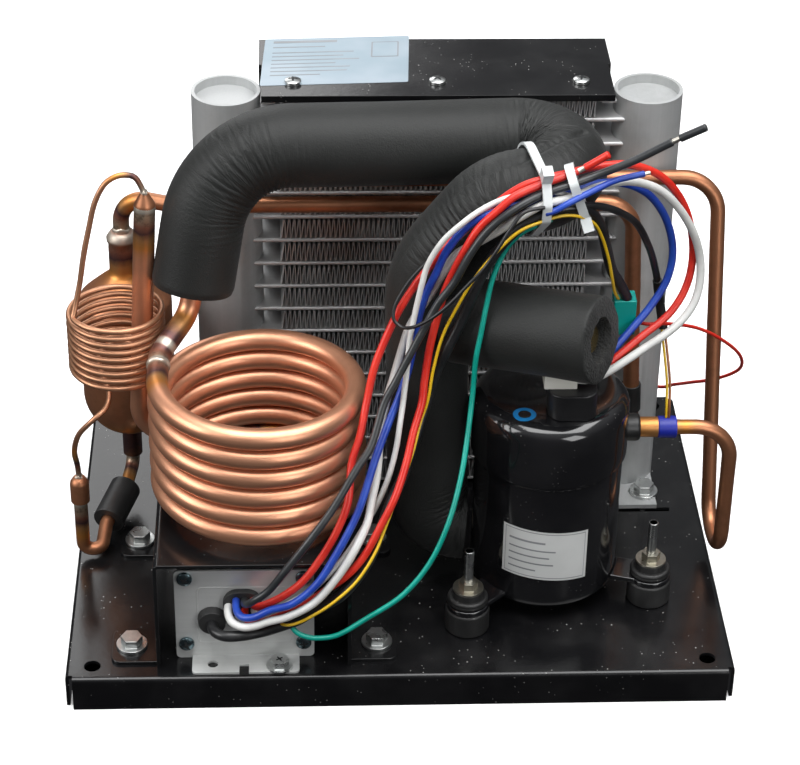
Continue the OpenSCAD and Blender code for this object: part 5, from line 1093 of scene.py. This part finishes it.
class OBJECT_OT_chiller_foam(ChillerCommand, bpy.types.Operator):
    """Foam tubes of the suction line and of the service branch"""

    bl_idname = "object.chiller_foam"
    bl_label = "Foam"

    def execute(self, context):
        s = context.scene.chiller_foam
        path = resample(route([LEG_FOOT, *SUCTION_CORNERS, FOAM_END], FOAM_BENDS, 3), 0.66)
        radius, inside = wrinkled(path, FOAM_R, FOAM_SIDES, s.wrinkle / MM, s.spacing / MM, s.wave / MM, 4)
        d = distances(path)
        for end in (d[0], d[-1]):
            radius -= 0.5 * np.exp(-((d - end) / 1.2) ** 2)[:, None]
        # the crease attribute gives the foam's finish its wrinkle bump and the painted shade in the wrinkles'
        # troughs
        foam = tube("suction_foam_skin", path, radius, FOAM_SIDES, FINISH["foam"], 0.5, {"crease": inside},
                    smooth_angle=60)
        settle(foam, "suction_foam")
        self.branch()
        return {"FINISHED"}

    def branch(self):
        """Foam of the service branch: a thick pipe, slightly out of round, with a grainy cut mouth."""
        profile = [(BRANCH_BORE, BRANCH_START), (BRANCH_BORE, BRANCH_END - 0.6),
                   (BRANCH_BORE + 0.35, BRANCH_END), (BRANCH_R - 0.7, BRANCH_END),
                   (BRANCH_R - 0.05, BRANCH_END - 0.7),
                   *[(BRANCH_R, h) for h in np.linspace(BRANCH_END - 2, BRANCH_START, 60)],
                   (BRANCH_BORE, BRANCH_START)]

        def uneven(r, h, angle):
            slow = 0.12 * np.sin(2 * angle + h / 9) + 0.1 * np.sin(3 * angle - h / 14)
            slow = slow + 0.06 * ripple_noise(h / 5 + angle, 3)
            rim = np.where(h > BRANCH_END - 1, 0.25 * np.sin(3 * angle + 1) + 0.12 * np.sin(11 * angle), 0)
            outside = r > BRANCH_BORE + 0.65
            return r + np.where(outside, slow - 0.2, 0.1 * np.sin(3 * angle)), h + rim - 0.4 * (rim != 0)

        foam = turned("service_foam_skin", profile, FINISH["foam"], TEE, BRANCH, 120, uneven, smooth_angle=50)
        foam.data.materials.append(FINISH["foam_cut"])
        for face in foam.data.polygons:
            centre = np.array(face.center) / MM - TEE
            along = centre @ BRANCH
            out = np.linalg.norm(centre - along * BRANCH)
            face.material_index = int(along > BRANCH_END - 0.8 or out < BRANCH_BORE + 1.05)
        settle(foam, "service_foam")


# Copper work
COIL_OUTLET = np.array((-99.7, -39.406, 128.721))
COIL_INLET = np.array((-68.094, -7.8, 73.717))
RISER_FOOT = COIL_INLET + (-42.706, 0, 0)
RISER_TOP = RISER_FOOT + (6.5, 0, 113)
CAPILLARY_R_TURN, CAPILLARY_PITCH, CAPILLARY_TOP, CAPILLARY_START = 19.5, 3.5, 141.0, 210
CAPILLARY_TURNS = 9 - 1 / 3
CAPILLARY_LOOP = [(0.1, 0, -0.13), (0.24, 0.01, -0.16), (0.38, 0.08, -0.15), (0.52, 0.15, -0.09),
                  (0.65, 0.23, 0.06), (0.74, 0.35, 0.27), (0.82, 0.48, 0.48), (0.89, 0.62, 0.72),
                  (0.95, 0.76, 0.88), (0.985, 0.9, 0.97)]
"""Loop from the riser to the winding, as shares of the way between them."""
CAPILLARY_TAIL = [(0.22, -0.01, 0.01), (0.42, 0.1, 0.036), (0.48, 0.31, 0.07), (0.37, 0.64, 0.11),
                  (0.21, 0.96, 0.16), (0.26, 1.22, 0.22), (0.59, 1.35, 0.31), (0.9, 1.27, 0.47),
                  (1.04, 1.14, 0.68), (1.01, 1.04, 0.87)]
"""Tail from the winding to the joint, as shares of the way between them."""
LIQUID_LINE = [(-117.3, 30, 153), (-117.3, 30, 170.5), (-93.3, 21, 170.5), (101.1, 21, 170.5),
               (107.1, 21, 58), (107.1, 26.4, 58)]
DISCHARGE_LINE = [(101.5, -39, 96), (141, -39, 95.5), (141, -39, 28), (140, -12, 28), (137, 23, 181.5),
                  (-52.387, 23, 181.5), (-59.387, 28.045, 181.5)]
DISCHARGE_WAY = (1, 0, -0.0127)
SLEEVE_ENDS = (np.array((-120.2, 15, 28.6)), np.array((-127.2, -5, 24.6)))
"""Ends of the sleeve on the receiver's outlet."""
SPHERE_R, SPHERE_MIDDLE = 20.4, 72
"""Radius of the receiver's barrel and round bottom, and the height of the bottom's middle."""


def heat_marks(path, spots, reach, width):
    """Attributes of a pipe: burn is exp(-(d / reach)^2) from each joint, and solder only within its width."""
    s = distances(path)
    heat, solder = np.zeros(len(s)), np.zeros(len(s))
    for at, strength in spots:
        at = at if at >= 0 else s[-1] + at
        heat = np.maximum(heat, strength * np.exp(-(((s - at) / reach) ** 2)))
        solder = np.maximum(solder, np.clip(1.5 - np.abs(s - at) / width, 0, 1))
    return {"burn": heat, "solder": solder}


class OBJECT_OT_chiller_copper(ChillerCommand, bpy.types.Operator):
    """Evaporator coil, capillary, pipes, receiver and their joints"""

    bl_idname = "object.chiller_copper"
    bl_label = "Copper Work"

    def execute(self, context):
        self.settings = context.scene.chiller_copper
        self.evaporator()
        self.capillary(RISER_TOP + (0, 0, 6))
        self.suction()
        self.receiver()
        self.liquid_and_discharge()
        self.outlet()
        self.collars()
        return {"FINISHED"}

    def pipe(self, name, path, radius, spots, nodes=(), finish="copper_aged", sides=26, seed=1, step=1.2):
        """Pipe along a path, a little wavy, burnt and soldered at its spots, each a place and a strength."""
        c = self.settings
        path = resample(path, step)
        r = radius * (1 + c.flat / MM / radius * ripple_noise(distances(path) / 7, seed))
        marks = heat_marks(path, spots, c.heat / MM, c.solder / MM)
        return settle(tube(name, path, r, sides, FINISH[finish], min(0.5, radius * 0.2), marks), *nodes)

    def joint(self, name, at, way, radius, width=2.6):
        """Solder round a pipe: a hump R + 0.55 sin(pi q)^0.7 over its width, uneven round it."""
        q = np.linspace(0, 1, 9)[1:-1]
        hump = zip(radius + 0.55 * np.sin(math.pi * q) ** 0.7, width * (q - 0.5))
        profile = [(radius - 0.3, -width / 2), *hump, (radius - 0.3, width / 2)]

        def uneven(r, h, a):
            high = h + 0.5 * np.sin(2 * a + at[1]) + 0.25 * np.sin(5 * a)
            return r + 0.12 * np.sin(3 * a + at[0]) * (r > radius), high

        return settle(turned(name, profile, FINISH["copper_aged"], at, way, 40, uneven, smooth_angle=80,
                             attributes={"solder": np.full(len(profile) * 40, 0.85)}))

    def evaporator(self):
        """Open spiral of the evaporator with its straight ends, and the riser with its drawn-in top."""
        helix = winding(COIL_AT, COIL_R, COIL_TOP, COIL_PITCH, 180, COIL_TURNS, 90)
        path = np.vstack([COIL_OUTLET, helix, COIL_INLET])
        self.pipe("evaporator_tube", path, COIL_TUBE_R, [(0, 0.9), (-0.1, 0.9)], ["evaporator_coil"],
                  "copper", 36, 2, 1.4)
        riser = route([COIL_INLET, RISER_FOOT, RISER_TOP], [14])
        self.pipe("riser_tube", riser, COIL_TUBE_R, [(0, 0.8), (-0.1, 1)], finish="copper", sides=30, seed=5)
        profile = [(4.45, -0.2), (4.4, 0.6), (4.1, 1.4), (3.0, 3.4), (2.0, 5.2), (1.7, 6.0), (0, 6.0)]
        settle(turned("riser_cone", profile, FINISH["copper_aged"], RISER_TOP, UP, 40), "evaporator_riser")
        self.joint("riser_solder", RISER_TOP + (0, 0, 5.6), UP, 1.3, 2.2)

    def capillary(self, start):
        """Thin tube: a loop from the riser, a winding, and a tail to the joint."""
        coil = winding(CAPILLARY_AT, CAPILLARY_R_TURN, CAPILLARY_TOP, CAPILLARY_PITCH, CAPILLARY_START,
                       CAPILLARY_TURNS, 72)
        end = np.array(JOINT) + (0, 0, 12.5)
        loop = [start + (coil[0] - start) * k for k in CAPILLARY_LOOP]
        tail = [coil[-1] + (end - coil[-1]) * k for k in CAPILLARY_TAIL]
        path = np.vstack([smooth([start, *loop], 8)[:-1], smooth([loop[-1], coil[0], coil[1]], 6)[:-7], coil,
                          smooth([coil[-1], *tail, end], 8)[1:]])
        self.pipe("capillary_tube", path, CAPILLARY_R, [(0, 0.9), (-0.5, 0.9)], ["capillary_coil"],
                  "copper_dull", 14, 21, 1.0)

    def suction(self):
        """Suction line: from the coil up into the foam and down to the compressor's port."""
        corners = [COIL_OUTLET, (-99.7, -32.406, 129.521), LEG_FOOT - 12 * unit((10.1, 13, 58)),
                   *SUCTION_CORNERS, SUCTION_PORT]
        self.pipe("suction_tube", route(corners, (10, 12, *FOAM_BENDS), 4), COIL_TUBE_R,
                  [(0, 0.9), (12, 0.7), (-0.1, 1), (-9, 0.6)], ["suction_line"], "copper", 30, 8)
        self.joint("suction_solder", COIL_OUTLET, (0, 1, 0), COIL_TUBE_R)

    def receiver(self):
        """Spun receiver: neck, round bottom, barrel, cone and upper neck, with the ring of solder."""
        low = [(0, 37.6), (4.3, 37.6), (4.3, 51.6), (5.0, 52.9)]
        bottom = [(SPHERE_R * math.sin(t), SPHERE_MIDDLE - SPHERE_R * math.cos(t))
                  for t in np.linspace(0.3, math.pi / 2, 22)]
        barrel = [(SPHERE_R, z) for z in np.linspace(74, 118, 10)]
        cone = [(20.3, 119.2), (19.6, 120.6), (17.6, 122.6), (11, 128.6), (7.2, 131.9), (6.2, 133.2),
                (6, 135)]
        neck = [*[(6, z) for z in np.linspace(137, 148, 5)], (6.6, 148.8), (6.7, 150.2), (5.2, 152.6),
                (4.2, 153.4), (0, 153.4)]
        profile = [*low, *bottom, *barrel, *cone, *neck]
        z = np.array([p[1] for p in profile])
        heat = np.maximum(np.exp(-(((z - 150) / 16) ** 2)), np.exp(-(((z - 45) / 14) ** 2)))
        solder = np.clip(1.4 - np.abs(z - 151.5) / 1.6, 0, 1)
        count = 80

        def wave(r, h, a):
            return r + 0.06 * np.sin(2 * a + h / 20) * (r > 15), h

        marks = {"burn": np.repeat(heat, count) * 0.85, "solder": np.repeat(solder, count)}
        body = turned("receiver_body", profile, FINISH["copper_aged"], (*RECEIVER, 0), UP, count, wave,
                      attributes=marks)
        settle(body, "receiver")
        self.joint("receiver_foot_solder", (*RECEIVER, 52.2), UP, 4.4, 3)

    def liquid_and_discharge(self):
        """Liquid line from right header to receiver, and discharge line from lid to left header."""
        self.pipe("liquid_tube", route(LIQUID_LINE, (13, 14, 14, 4.5), 4), LIQUID_R, [(0, 1), (-0.5, 1)],
                  ["liquid_line"], seed=11)
        self.joint("liquid_solder", (*RECEIVER, 154), UP, LIQUID_R)
        self.pipe("discharge_tube", route(DISCHARGE_LINE, (16, 13, 13, 16, 9), 4), DISCHARGE_R,
                  [(0, 1), (4, 0.8), (-0.5, 1)], ["discharge_line"], seed=13)

    def outlet(self):
        """Outlet of the receiver, bent through its sleeve to the joint with the capillary."""
        a, b = SLEEVE_ENDS
        way = unit(b - a)
        line = [(*RECEIVER, 37.6), (*RECEIVER, 32.2), a - way, b + 2 * way, (-129.2, -20, 20.6),
                (-137.2, -20, 20.6), JOINT]
        path = route(line, (6, 7, 5, 3.8, 4), 5)
        self.pipe("outlet_pipe", path, OUTLET_R, [(0, 1), (-0.2, 1)], ["outlet_tube"], sides=24, seed=17)
        sleeve = [(3.0, -0.6), (4.1, 0), (4.15, 9.2), (3.9, 10.2), (2.6, 12.2), (1.7, 12.5), (0, 12.5)]
        settle(turned("joint_sleeve", sleeve, FINISH["copper_aged"], JOINT, UP, 40))
        self.joint("joint_solder", np.array(JOINT) + (0, 0, 12.2), UP, 1.4, 2.0)

    def collars(self):
        """Solder at the suction port, boss and swaged collar of the discharge pipe, and its solder."""
        self.joint("port_solder", (26.5, -29.81, 42), (1, 0, 0), COIL_TUBE_R)
        boss = [(5.9, 0), (5.9, 20), (5.6, 21), (5.2, 21.4), (0, 21.4)]
        settle(turned("discharge_boss", boss, FINISH["sleeve"], (80, -39, 96), (1, 0, 0), 48))
        collar = [(3.1, -0.5), (4.3, 0), (4.35, 9.5), (4.1, 10.6), (3.3, 11.6)]
        settle(turned("discharge_collar", collar, FINISH["copper_aged"], DISCHARGE_LINE[0], DISCHARGE_WAY, 40,
                      attributes={"burn": np.full(len(collar) * 40, 0.4)}))
        self.joint("discharge_solder", (114.6, -39, 95.83), DISCHARGE_WAY, 3.3, 4.2)


# Compressor
CAN_ROUND = 6
LABEL_FROM, LABEL_WIDE, LABEL_TOP, LABEL_FOOT, LABEL_DROP = -129, 68, 65.5, 40.6, 2.4
"""Label on the can: its first angle and its width in degrees, its edges' heights, and how far it slants."""
LABEL_RULES = [(0.03, 0.97, 0.95, 0.965), (0.03, 0.97, 0.035, 0.05), (0.03, 0.036, 0.035, 0.965),
               (0.964, 0.97, 0.035, 0.965), (0.08, 0.5, 0.74, 0.78), (0.08, 0.62, 0.58, 0.61),
               (0.08, 0.55, 0.44, 0.47), (0.08, 0.6, 0.3, 0.33), (0.08, 0.4, 0.16, 0.19)]
"""Border and plain rules of the label, as shares of its width and height: left, right, foot, top."""
RING_AT = (50.5, -58.5)
FOOT_REACH, FOOT_TURNS = 47.3, (103, 223, 343)


class OBJECT_OT_chiller_compressor(ChillerCommand, bpy.types.Operator):
    """Compressor shell, cap, weld, feet, label and mark"""

    bl_idname = "object.chiller_compressor"
    bl_label = "Compressor"

    def execute(self, context):
        self.shell()
        softened("compressor_feet", FINISH["enamel"], 0.7, segments=3)
        softened("terminal_cover", FINISH["plastic"], 0.7, segments=3)
        softened("terminal_plug", FINISH["white_plug"], 0.4)
        self.label()
        self.mark()
        self.feet()
        for node in ("motor_stator", "motor_rotor", "rolling_piston", "pump_block"):
            softened(node, FINISH["steel"], 0.2)
        return {"FINISHED"}

    def shell(self):
        """Drawn can with a round foot, pressed lid with a skirt and a round shoulder, and their weld."""
        at = (*COMPRESSOR, 0)
        arc = np.linspace(0, math.pi / 2, 9)
        foot = zip(SHELL_R - CAN_ROUND + CAN_ROUND * np.sin(arc), 22 + CAN_ROUND - CAN_ROUND * np.cos(arc))
        low = [(0, 22.0), *foot, *[(SHELL_R, z) for z in np.linspace(30, 87, 14)], (SHELL_R, 94), (0, 94)]
        can = turned("compressor_can", low, FINISH["enamel"], at, UP, 128)
        skirt = [(0, 89), (30.8, 89), (31.4, 87.6), (32.2, 87.0), (32.85, 87.5), (LID_R, 88.3)]
        r, z = LID_R - LID_ROUND, LID_TOP - LID_ROUND
        shoulder = zip(r + LID_ROUND * np.cos(arc[1:]), z + LID_ROUND * np.sin(arc[1:]))
        high = [*skirt, *[(LID_R, z) for z in (92, 98, 104, 108.5)], *shoulder, (18, LID_TOP + 0.05),
                (6, LID_TOP + 0.05), (0, LID_TOP + 0.05)]

        def pressed(r, h, a):
            top = (h > 115) * (r < 25) * (r > 1)
            return r + 0.1 * np.sin(2 * a) * (r > 30), h - 0.12 * np.cos(3 * a) * top

        lid = turned("compressor_lid", high, FINISH["enamel"], at, UP, 128, pressed)
        settle(can, "compressor_shell")
        settle(lid, "compressor_cap")
        bead = [(31.2, 85.6), (31.9, 85.8), (32.3, 86.4), (32.2, 87.1), (31.2, 87.5)]

        def beaded(r, h, a):
            return r + 0.12 * np.sin(64 * a + 3 * np.sin(5 * a)) * (r > SHELL_R), h + 0.15 * np.sin(7 * a)

        settle(turned("weld_bead", bead, FINISH["enamel"], at, UP, 256, beaded))

    def label(self):
        """Blank label on the can, with a border and plain rules: patches of a cylinder of radius R + lift."""

        def patch(name, u0, u1, v0, v1, lift, finish):
            u, v = np.meshgrid(np.linspace(u0, u1, 40), np.linspace(v0, v1, 4), indexing="ij")
            a = np.radians(LABEL_FROM + LABEL_WIDE * u)
            z = LABEL_FOOT + (LABEL_TOP - LABEL_FOOT) * v - LABEL_DROP * u
            r = SHELL_R + lift
            grid = np.stack([COMPRESSOR[0] + r * np.cos(a), COMPRESSOR[1] + r * np.sin(a), z], -1)
            faces = grid_faces(40, 4, close_columns=False, flip=True)
            settle(add_object(name, grid.reshape(-1, 3), faces, FINISH[finish]))

        patch("compressor_label", 0, 1, 0, 1, 0.12, "label")
        for k, rule in enumerate(LABEL_RULES):
            patch(f"label_rule_{k}", *rule, 0.16, "label_line")

    def mark(self):
        """Blue ring printed over the lid's shoulder, which falls with the distance d from the middle."""
        a = np.linspace(0, 2 * math.pi, 48, endpoint=False)
        rows = []
        for r in (2.7, 3.4, 4.1, 4.8):
            x, y = RING_AT[0] + r * np.cos(a), RING_AT[1] + r * np.sin(a)
            d = np.clip(np.hypot(x - COMPRESSOR[0], y - COMPRESSOR[1]) - (LID_R - LID_ROUND), 0, LID_ROUND)
            rows.append(np.stack([x, y, LID_TOP - LID_ROUND + np.sqrt(LID_ROUND**2 - d**2) + 0.16], 1))
        settle(add_object("blue_ring", np.concatenate(rows), grid_faces(4, 48, flip=True), FINISH["mark"]))

    def feet(self):
        """Rubber grommets, threaded studs and their nuts."""
        softened("foot_nuts", FINISH["nut_zinc"], 0.25)
        softened("foot_grommets", FINISH["rubber"], 0.5, segments=3)
        for k, turn in enumerate(FOOT_TURNS):
            x = COMPRESSOR[0] + FOOT_REACH * math.cos(math.radians(turn))
            y = COMPRESSOR[1] + FOOT_REACH * math.sin(math.radians(turn))
            settle(thread(f"stud_thread_{k}", (x, y, 37), UP, 2.0, 19, 0.7, 0.32, FINISH["zinc"]))
        softened("foot_studs", FINISH["zinc"], 0.2)


def thread(name, at, way, radius, length, pitch, depth, finish):
    """Outside thread: r = R - depth |2 frac(h / pitch - a / 2 pi) - 1|^0.8, chamfered at its end."""
    profile = [(radius, z) for z in np.arange(0, length - 0.4, pitch / 8)]
    profile += [(radius - depth, length), (0, length)]

    def cut(r, z, a):
        f = (z / pitch - a / (2 * math.pi)) % 1.0
        chamfer = np.clip((z - (length - 0.8)) / 0.8, 0, 1) * depth
        body = r - depth * np.abs(2 * f - 1) ** 0.8 - chamfer
        return np.where(r >= radius - 1e-6, body, r), z

    return turned(name, profile, finish, at, way, 48, cut, smooth_angle=25)


# Condenser
FINS_FROM, FINS_TO, FIN_HALF_DEPTH, FIN_ROWS = -49.5, 85.0, 10.0, 17
FOLD_SHARES = np.array((0.04, 0.12, 0.96, 0.88))
"""Heights of the four points of a fold, as shares of the gap between two tubes."""


class OBJECT_OT_chiller_condenser(ChillerCommand, bpy.types.Operator):
    """Fins, flat tubes, headers and side plates"""

    bl_idname = "object.chiller_condenser"
    bl_label = "Condenser"

    def execute(self, context):
        s = context.scene.chiller_fins
        for row in range(FIN_ROWS):
            self.fins(row, s.waves, s.thickness / MM)
        softened("condenser_tubes", FINISH["flat_tube"], 0.2)
        for node in ("header_left", "header_right"):
            softened(node, FINISH["header"], 0.5, segments=3)
        softened("side_plates", FINISH["flat_tube"], 0.25)
        return {"FINISHED"}

    def fins(self, row, waves, thickness):
        """One row of fins: a strip folded up and down between two tubes, carried back over the core's depth.

        x goes on by a pitch a fold, z by the fold's shares, and both sides sway by 0.08 sin(0.9 y + row).
        """
        wide = FINS_TO - FINS_FROM
        k = np.arange(4 * waves + 1)
        f = k / 4
        gap = TUBE_PITCH - TUBE_T
        shift = 0.1 * ripple_noise(f / 3, row)
        lean = 0.1 * np.where(k % 4 < 2, -1, 1)
        x = FINS_FROM + 0.4 + (f + lean) * (wide / waves - 0.01) * ((wide - 1) / wide) + shift * 0.4
        z = FIRST_ROW + (row - 1) * TUBE_PITCH + TUBE_T / 2 + 0.02 + FOLD_SHARES[k % 4] * (gap - 0.04)
        y = np.linspace(CORE_Y - FIN_HALF_DEPTH, CORE_Y + FIN_HALF_DEPTH, 6)
        y = np.concatenate([y, y[::-1]])
        side = np.repeat((-0.5, 0.5), 6) * thickness
        points = np.broadcast_arrays(x[:, None] + side + 0.08 * np.sin(y * 0.9 + row), y[None, :], z[:, None])
        faces = grid_faces(len(x), 12)
        strip = add_object(f"fin_row_{row:02d}", np.stack(points, -1).reshape(-1, 3), faces, FINISH["fin"],
                           smooth_angle=20)
        settle(strip, *(["condenser_fins"] if row == 0 else []))


# Sheet metal, fan and small parts
PLATE_Y = -90.2
"""Front face of the controller's plate."""
PLATE_SCREWS = [(x, z) for x in (-89.6, -40.8) for z in (24, 58)]
TOP_SCREWS = (-43.28, 17.4, 78.08)
TOP_SCREW_Y, TOP_SCREW_Z = 40.6, 220.1
FRAME_BOX = (-84.7, -45.4, 24.0, 52.8)
"""Left, right, foot and top of the bead round the middle of the controller's plate."""
FRAME_BEAD = ((0.4, 0.0), (0.2, 0.13), (0.0, 0.16), (-0.2, 0.13), (-0.4, 0.0))
"""How far each line of the bead stands outside its middle, and how high."""
PLAIN_NODES = {
    "base_pan": ("tray", 0.5), "coil_bracket": ("shroud", 0.5), "fan_shroud": ("shroud", 0.4),
    "fan_frame": ("plastic", 0.5), "fan_rotor": ("plastic", 0.3), "fan_guard": ("wire_guard", 0.05),
    "controller_body": ("plastic", 0.6), "controller_plate": ("plate", 0.3), "pan_bolts": ("zinc", 0.3),
    "shroud_screws": ("zinc", 0.25), "controller_screws": ("blue_zinc", 0.2), "controller_bolt": ("zinc", 0.3),
    "power_grommet": ("rubber", 0.4), "signal_grommet": ("rubber", 0.4), "outlet_sleeve": ("sleeve", 0.4),
    "liquid_sleeve": ("sleeve", 0.3), "cable_ties": ("nylon", 0.15), "valve_pin": ("brass", 0.1),
}
"""Finish and edge width of the nodes that keep their shape."""
WIDE_EDGE = 0.35
"""Edges wider than this get one more step."""
LABEL_CORNERS = np.array(((-57.2, 38), (-55.0, 82.4), (5.5, 82.2), (5.1, 41.2)))
"""Front left, back left, back right and front right corner of the data label."""
LABEL_Z = 217.72
DATA_RULES = [(0.5, 0.9), (0.42, 0.8), (0.62, 0.68), (0.55, 0.6), (0.66, 0.52), (0.5, 0.44), (0.6, 0.36),
              (0.58, 0.28), (0.4, 0.2)]
"""End and foot of each plain rule of the data label, as shares of its width and height."""


class OBJECT_OT_chiller_sheets(ChillerCommand, bpy.types.Operator):
    """Pan, bracket, shroud, controller, fan, fasteners, ties and connectors"""

    bl_idname = "object.chiller_sheets"
    bl_label = "Sheet Metal and Fasteners"

    def execute(self, context):
        for node, (finish, width) in PLAIN_NODES.items():
            softened(node, FINISH[finish], width, segments=3 if width > WIDE_EDGE else 2)
        obj = softened("wire_connectors", FINISH["connector"], 0.6, segments=3)
        obj.data.materials.append(FINISH["bead"])
        for face in obj.data.polygons:
            face.material_index = int(face.center.x > 0.1)
        self.service_valve()
        self.data_label()
        self.recesses()
        self.embossed_frame()
        return {"FINISHED"}

    def service_valve(self):
        """Brass stem with its hexagon and thread, in the foam's mouth."""
        softened("service_valve", FINISH["brass"], 0.25)
        settle(thread("valve_thread", TEE + BRANCH * 61.2, BRANCH, 5.62, 13.3, 1.0, 0.45, FINISH["brass"]))

    def data_label(self):
        """Silver data label on the shroud's top: corner + u width + v height, with plain rules and a box."""
        wide, high = LABEL_CORNERS[3] - LABEL_CORNERS[0], LABEL_CORNERS[1] - LABEL_CORNERS[0]

        def plate(name, u0, u1, v0, v1, lift, finish, r):
            def place(p):
                flat = LABEL_CORNERS[0] + p[:, :1] * wide + p[:, 1:2] * high
                return np.hstack([flat, LABEL_Z + lift + p[:, 2:]])

            outline = rounded([(u0, v0), (u1, v0), (u1, v1), (u0, v1)], r)
            settle(sheet_of(name, outline, 0.06, place, FINISH[finish]))

        plate("data_label", 0, 1, 0, 1, 0.05, "silver_label", 0.02)
        for k, (end, foot) in enumerate(DATA_RULES):
            top = foot + (0.045 if k == 0 else 0.018)
            plate(f"data_rule_{k}", 0.06, end, foot, top, 0.1, "label_line", 0.004)
        plate("data_box", 0.74, 0.93, 0.55, 0.88, 0.1, "label_line", 0.01)
        plate("data_box_inside", 0.75, 0.92, 0.565, 0.865, 0.14, "silver_label", 0.01)

    def recesses(self):
        """Painted shade of the cross recesses on the screws' domed heads: two dark bars each, lower by r^2 /
        2R from the middle.

        A bar's half width is size (0.13 - 0.05 |2 u / size|^3) at the distance u along it.
        """
        heads = [((x, PLATE_Y - 2.2, z), FRONT, 6.4, 3.7) for x, z in PLATE_SCREWS]
        heads += [((x, TOP_SCREW_Y, TOP_SCREW_Z), UP, 7.0, 4.0) for x in TOP_SCREWS]
        bolt = np.array(frame["nodes"]["controller_bolt"].bound_box) / MM
        heads.append(((*bolt.mean(axis=0)[:2], bolt[:, 2].max()), UP, 1e6, 3.2))
        bars = []
        for k, (at, axis, dome, size) in enumerate(heads):
            flat = unit(np.cross(axis, (1, 0, 0)))
            for turn in math.radians(17 + 41 * k) + np.array((0, math.pi / 2)):
                along = math.cos(turn) * flat + math.sin(turn) * np.cross(axis, flat)
                u = np.linspace(-size / 2, size / 2, 9)[:, None]
                v = size * (0.13 - 0.05 * np.abs(2 * u / size) ** 3) * np.array((-1, 1))
                high = 0.05 - (u * u + v * v) / 2 / dome
                bars.append(np.array(at) + u[..., None] * along + v[..., None] * np.cross(axis, along)
                            + high[..., None] * np.array(axis))
        points = np.concatenate(bars).reshape(-1, 3)
        quads = grid_faces(9, 2, close_columns=False)
        faces = (quads + 18 * np.arange(len(bars))[:, None, None]).reshape(-1, 4)
        # the dark bars are painted shade in the hollows of the recesses
        settle(add_object("cross_recesses", points, faces, FINISH["recess"]))

    def embossed_frame(self):
        """Low bead pressed into the controller's plate, a rectangle with rounded corners."""
        left, right, foot, top = FRAME_BOX
        rows = []
        for grow, rise in FRAME_BEAD:
            x0, x1, z0, z1 = left - grow, right + grow, foot - grow, top + grow
            line = rounded([(x0, z0), (x1, z0), (x1, z1), (x0, z1)], 2.0 + grow)
            rows.append(np.stack([line[:, 0], np.full(len(line), PLATE_Y - rise), line[:, 1]], 1))
        faces = grid_faces(len(rows), len(rows[0]))
        settle(add_object("embossed_frame", np.concatenate(rows), faces, FINISH["plate"], smooth_angle=60))


# Panel
OPERATORS = (OBJECT_OT_chiller_stage, OBJECT_OT_chiller_wires, OBJECT_OT_chiller_foam,
             OBJECT_OT_chiller_copper, OBJECT_OT_chiller_compressor, OBJECT_OT_chiller_condenser,
             OBJECT_OT_chiller_sheets)
GROUPS = {"chiller_stage": StageSettings, "chiller_wires": WireSettings, "chiller_foam": FoamSettings,
          "chiller_copper": CopperSettings, "chiller_fins": FinSettings}


class VIEW3D_PT_chiller(bpy.types.Panel):
    """Settings and commands of the chiller"""

    bl_label = "Water Chiller"
    bl_idname = "VIEW3D_PT_chiller"
    bl_space_type = "VIEW_3D"
    bl_region_type = "UI"
    bl_category = "Chiller"

    def draw(self, context):
        for key, kind in GROUPS.items():
            box = self.layout.box()
            for prop in kind.__annotations__:
                box.prop(getattr(context.scene, key), prop)
        for operator in OPERATORS:
            self.layout.operator(operator.bl_idname)


def register():
    """Makes the settings and commands known."""
    for kind in (*GROUPS.values(), *OPERATORS, VIEW3D_PT_chiller):
        bpy.utils.register_class(kind)
    for key, kind in GROUPS.items():
        setattr(bpy.types.Scene, key, PointerProperty(type=kind))


def unregister():
    """Takes them away again."""
    for key in GROUPS:
        delattr(bpy.types.Scene, key)
    for kind in (VIEW3D_PT_chiller, *reversed(OPERATORS), *reversed(tuple(GROUPS.values()))):
        bpy.utils.unregister_class(kind)


def main():
    """Builds every piece through its command."""
    register()
    for finishes in (copper_and_foam, paints_and_plastics, bare_metals):
        finishes(FINISH)
    bpy.ops.object.chiller_stage()
    bpy.ops.object.chiller_wires()
    bpy.ops.object.chiller_foam()
    bpy.ops.object.chiller_copper()
    bpy.ops.object.chiller_compressor()
    bpy.ops.object.chiller_condenser()
    bpy.ops.object.chiller_sheets()
    bpy.context.view_layer.update()


if __name__ == "__main__":
    main()
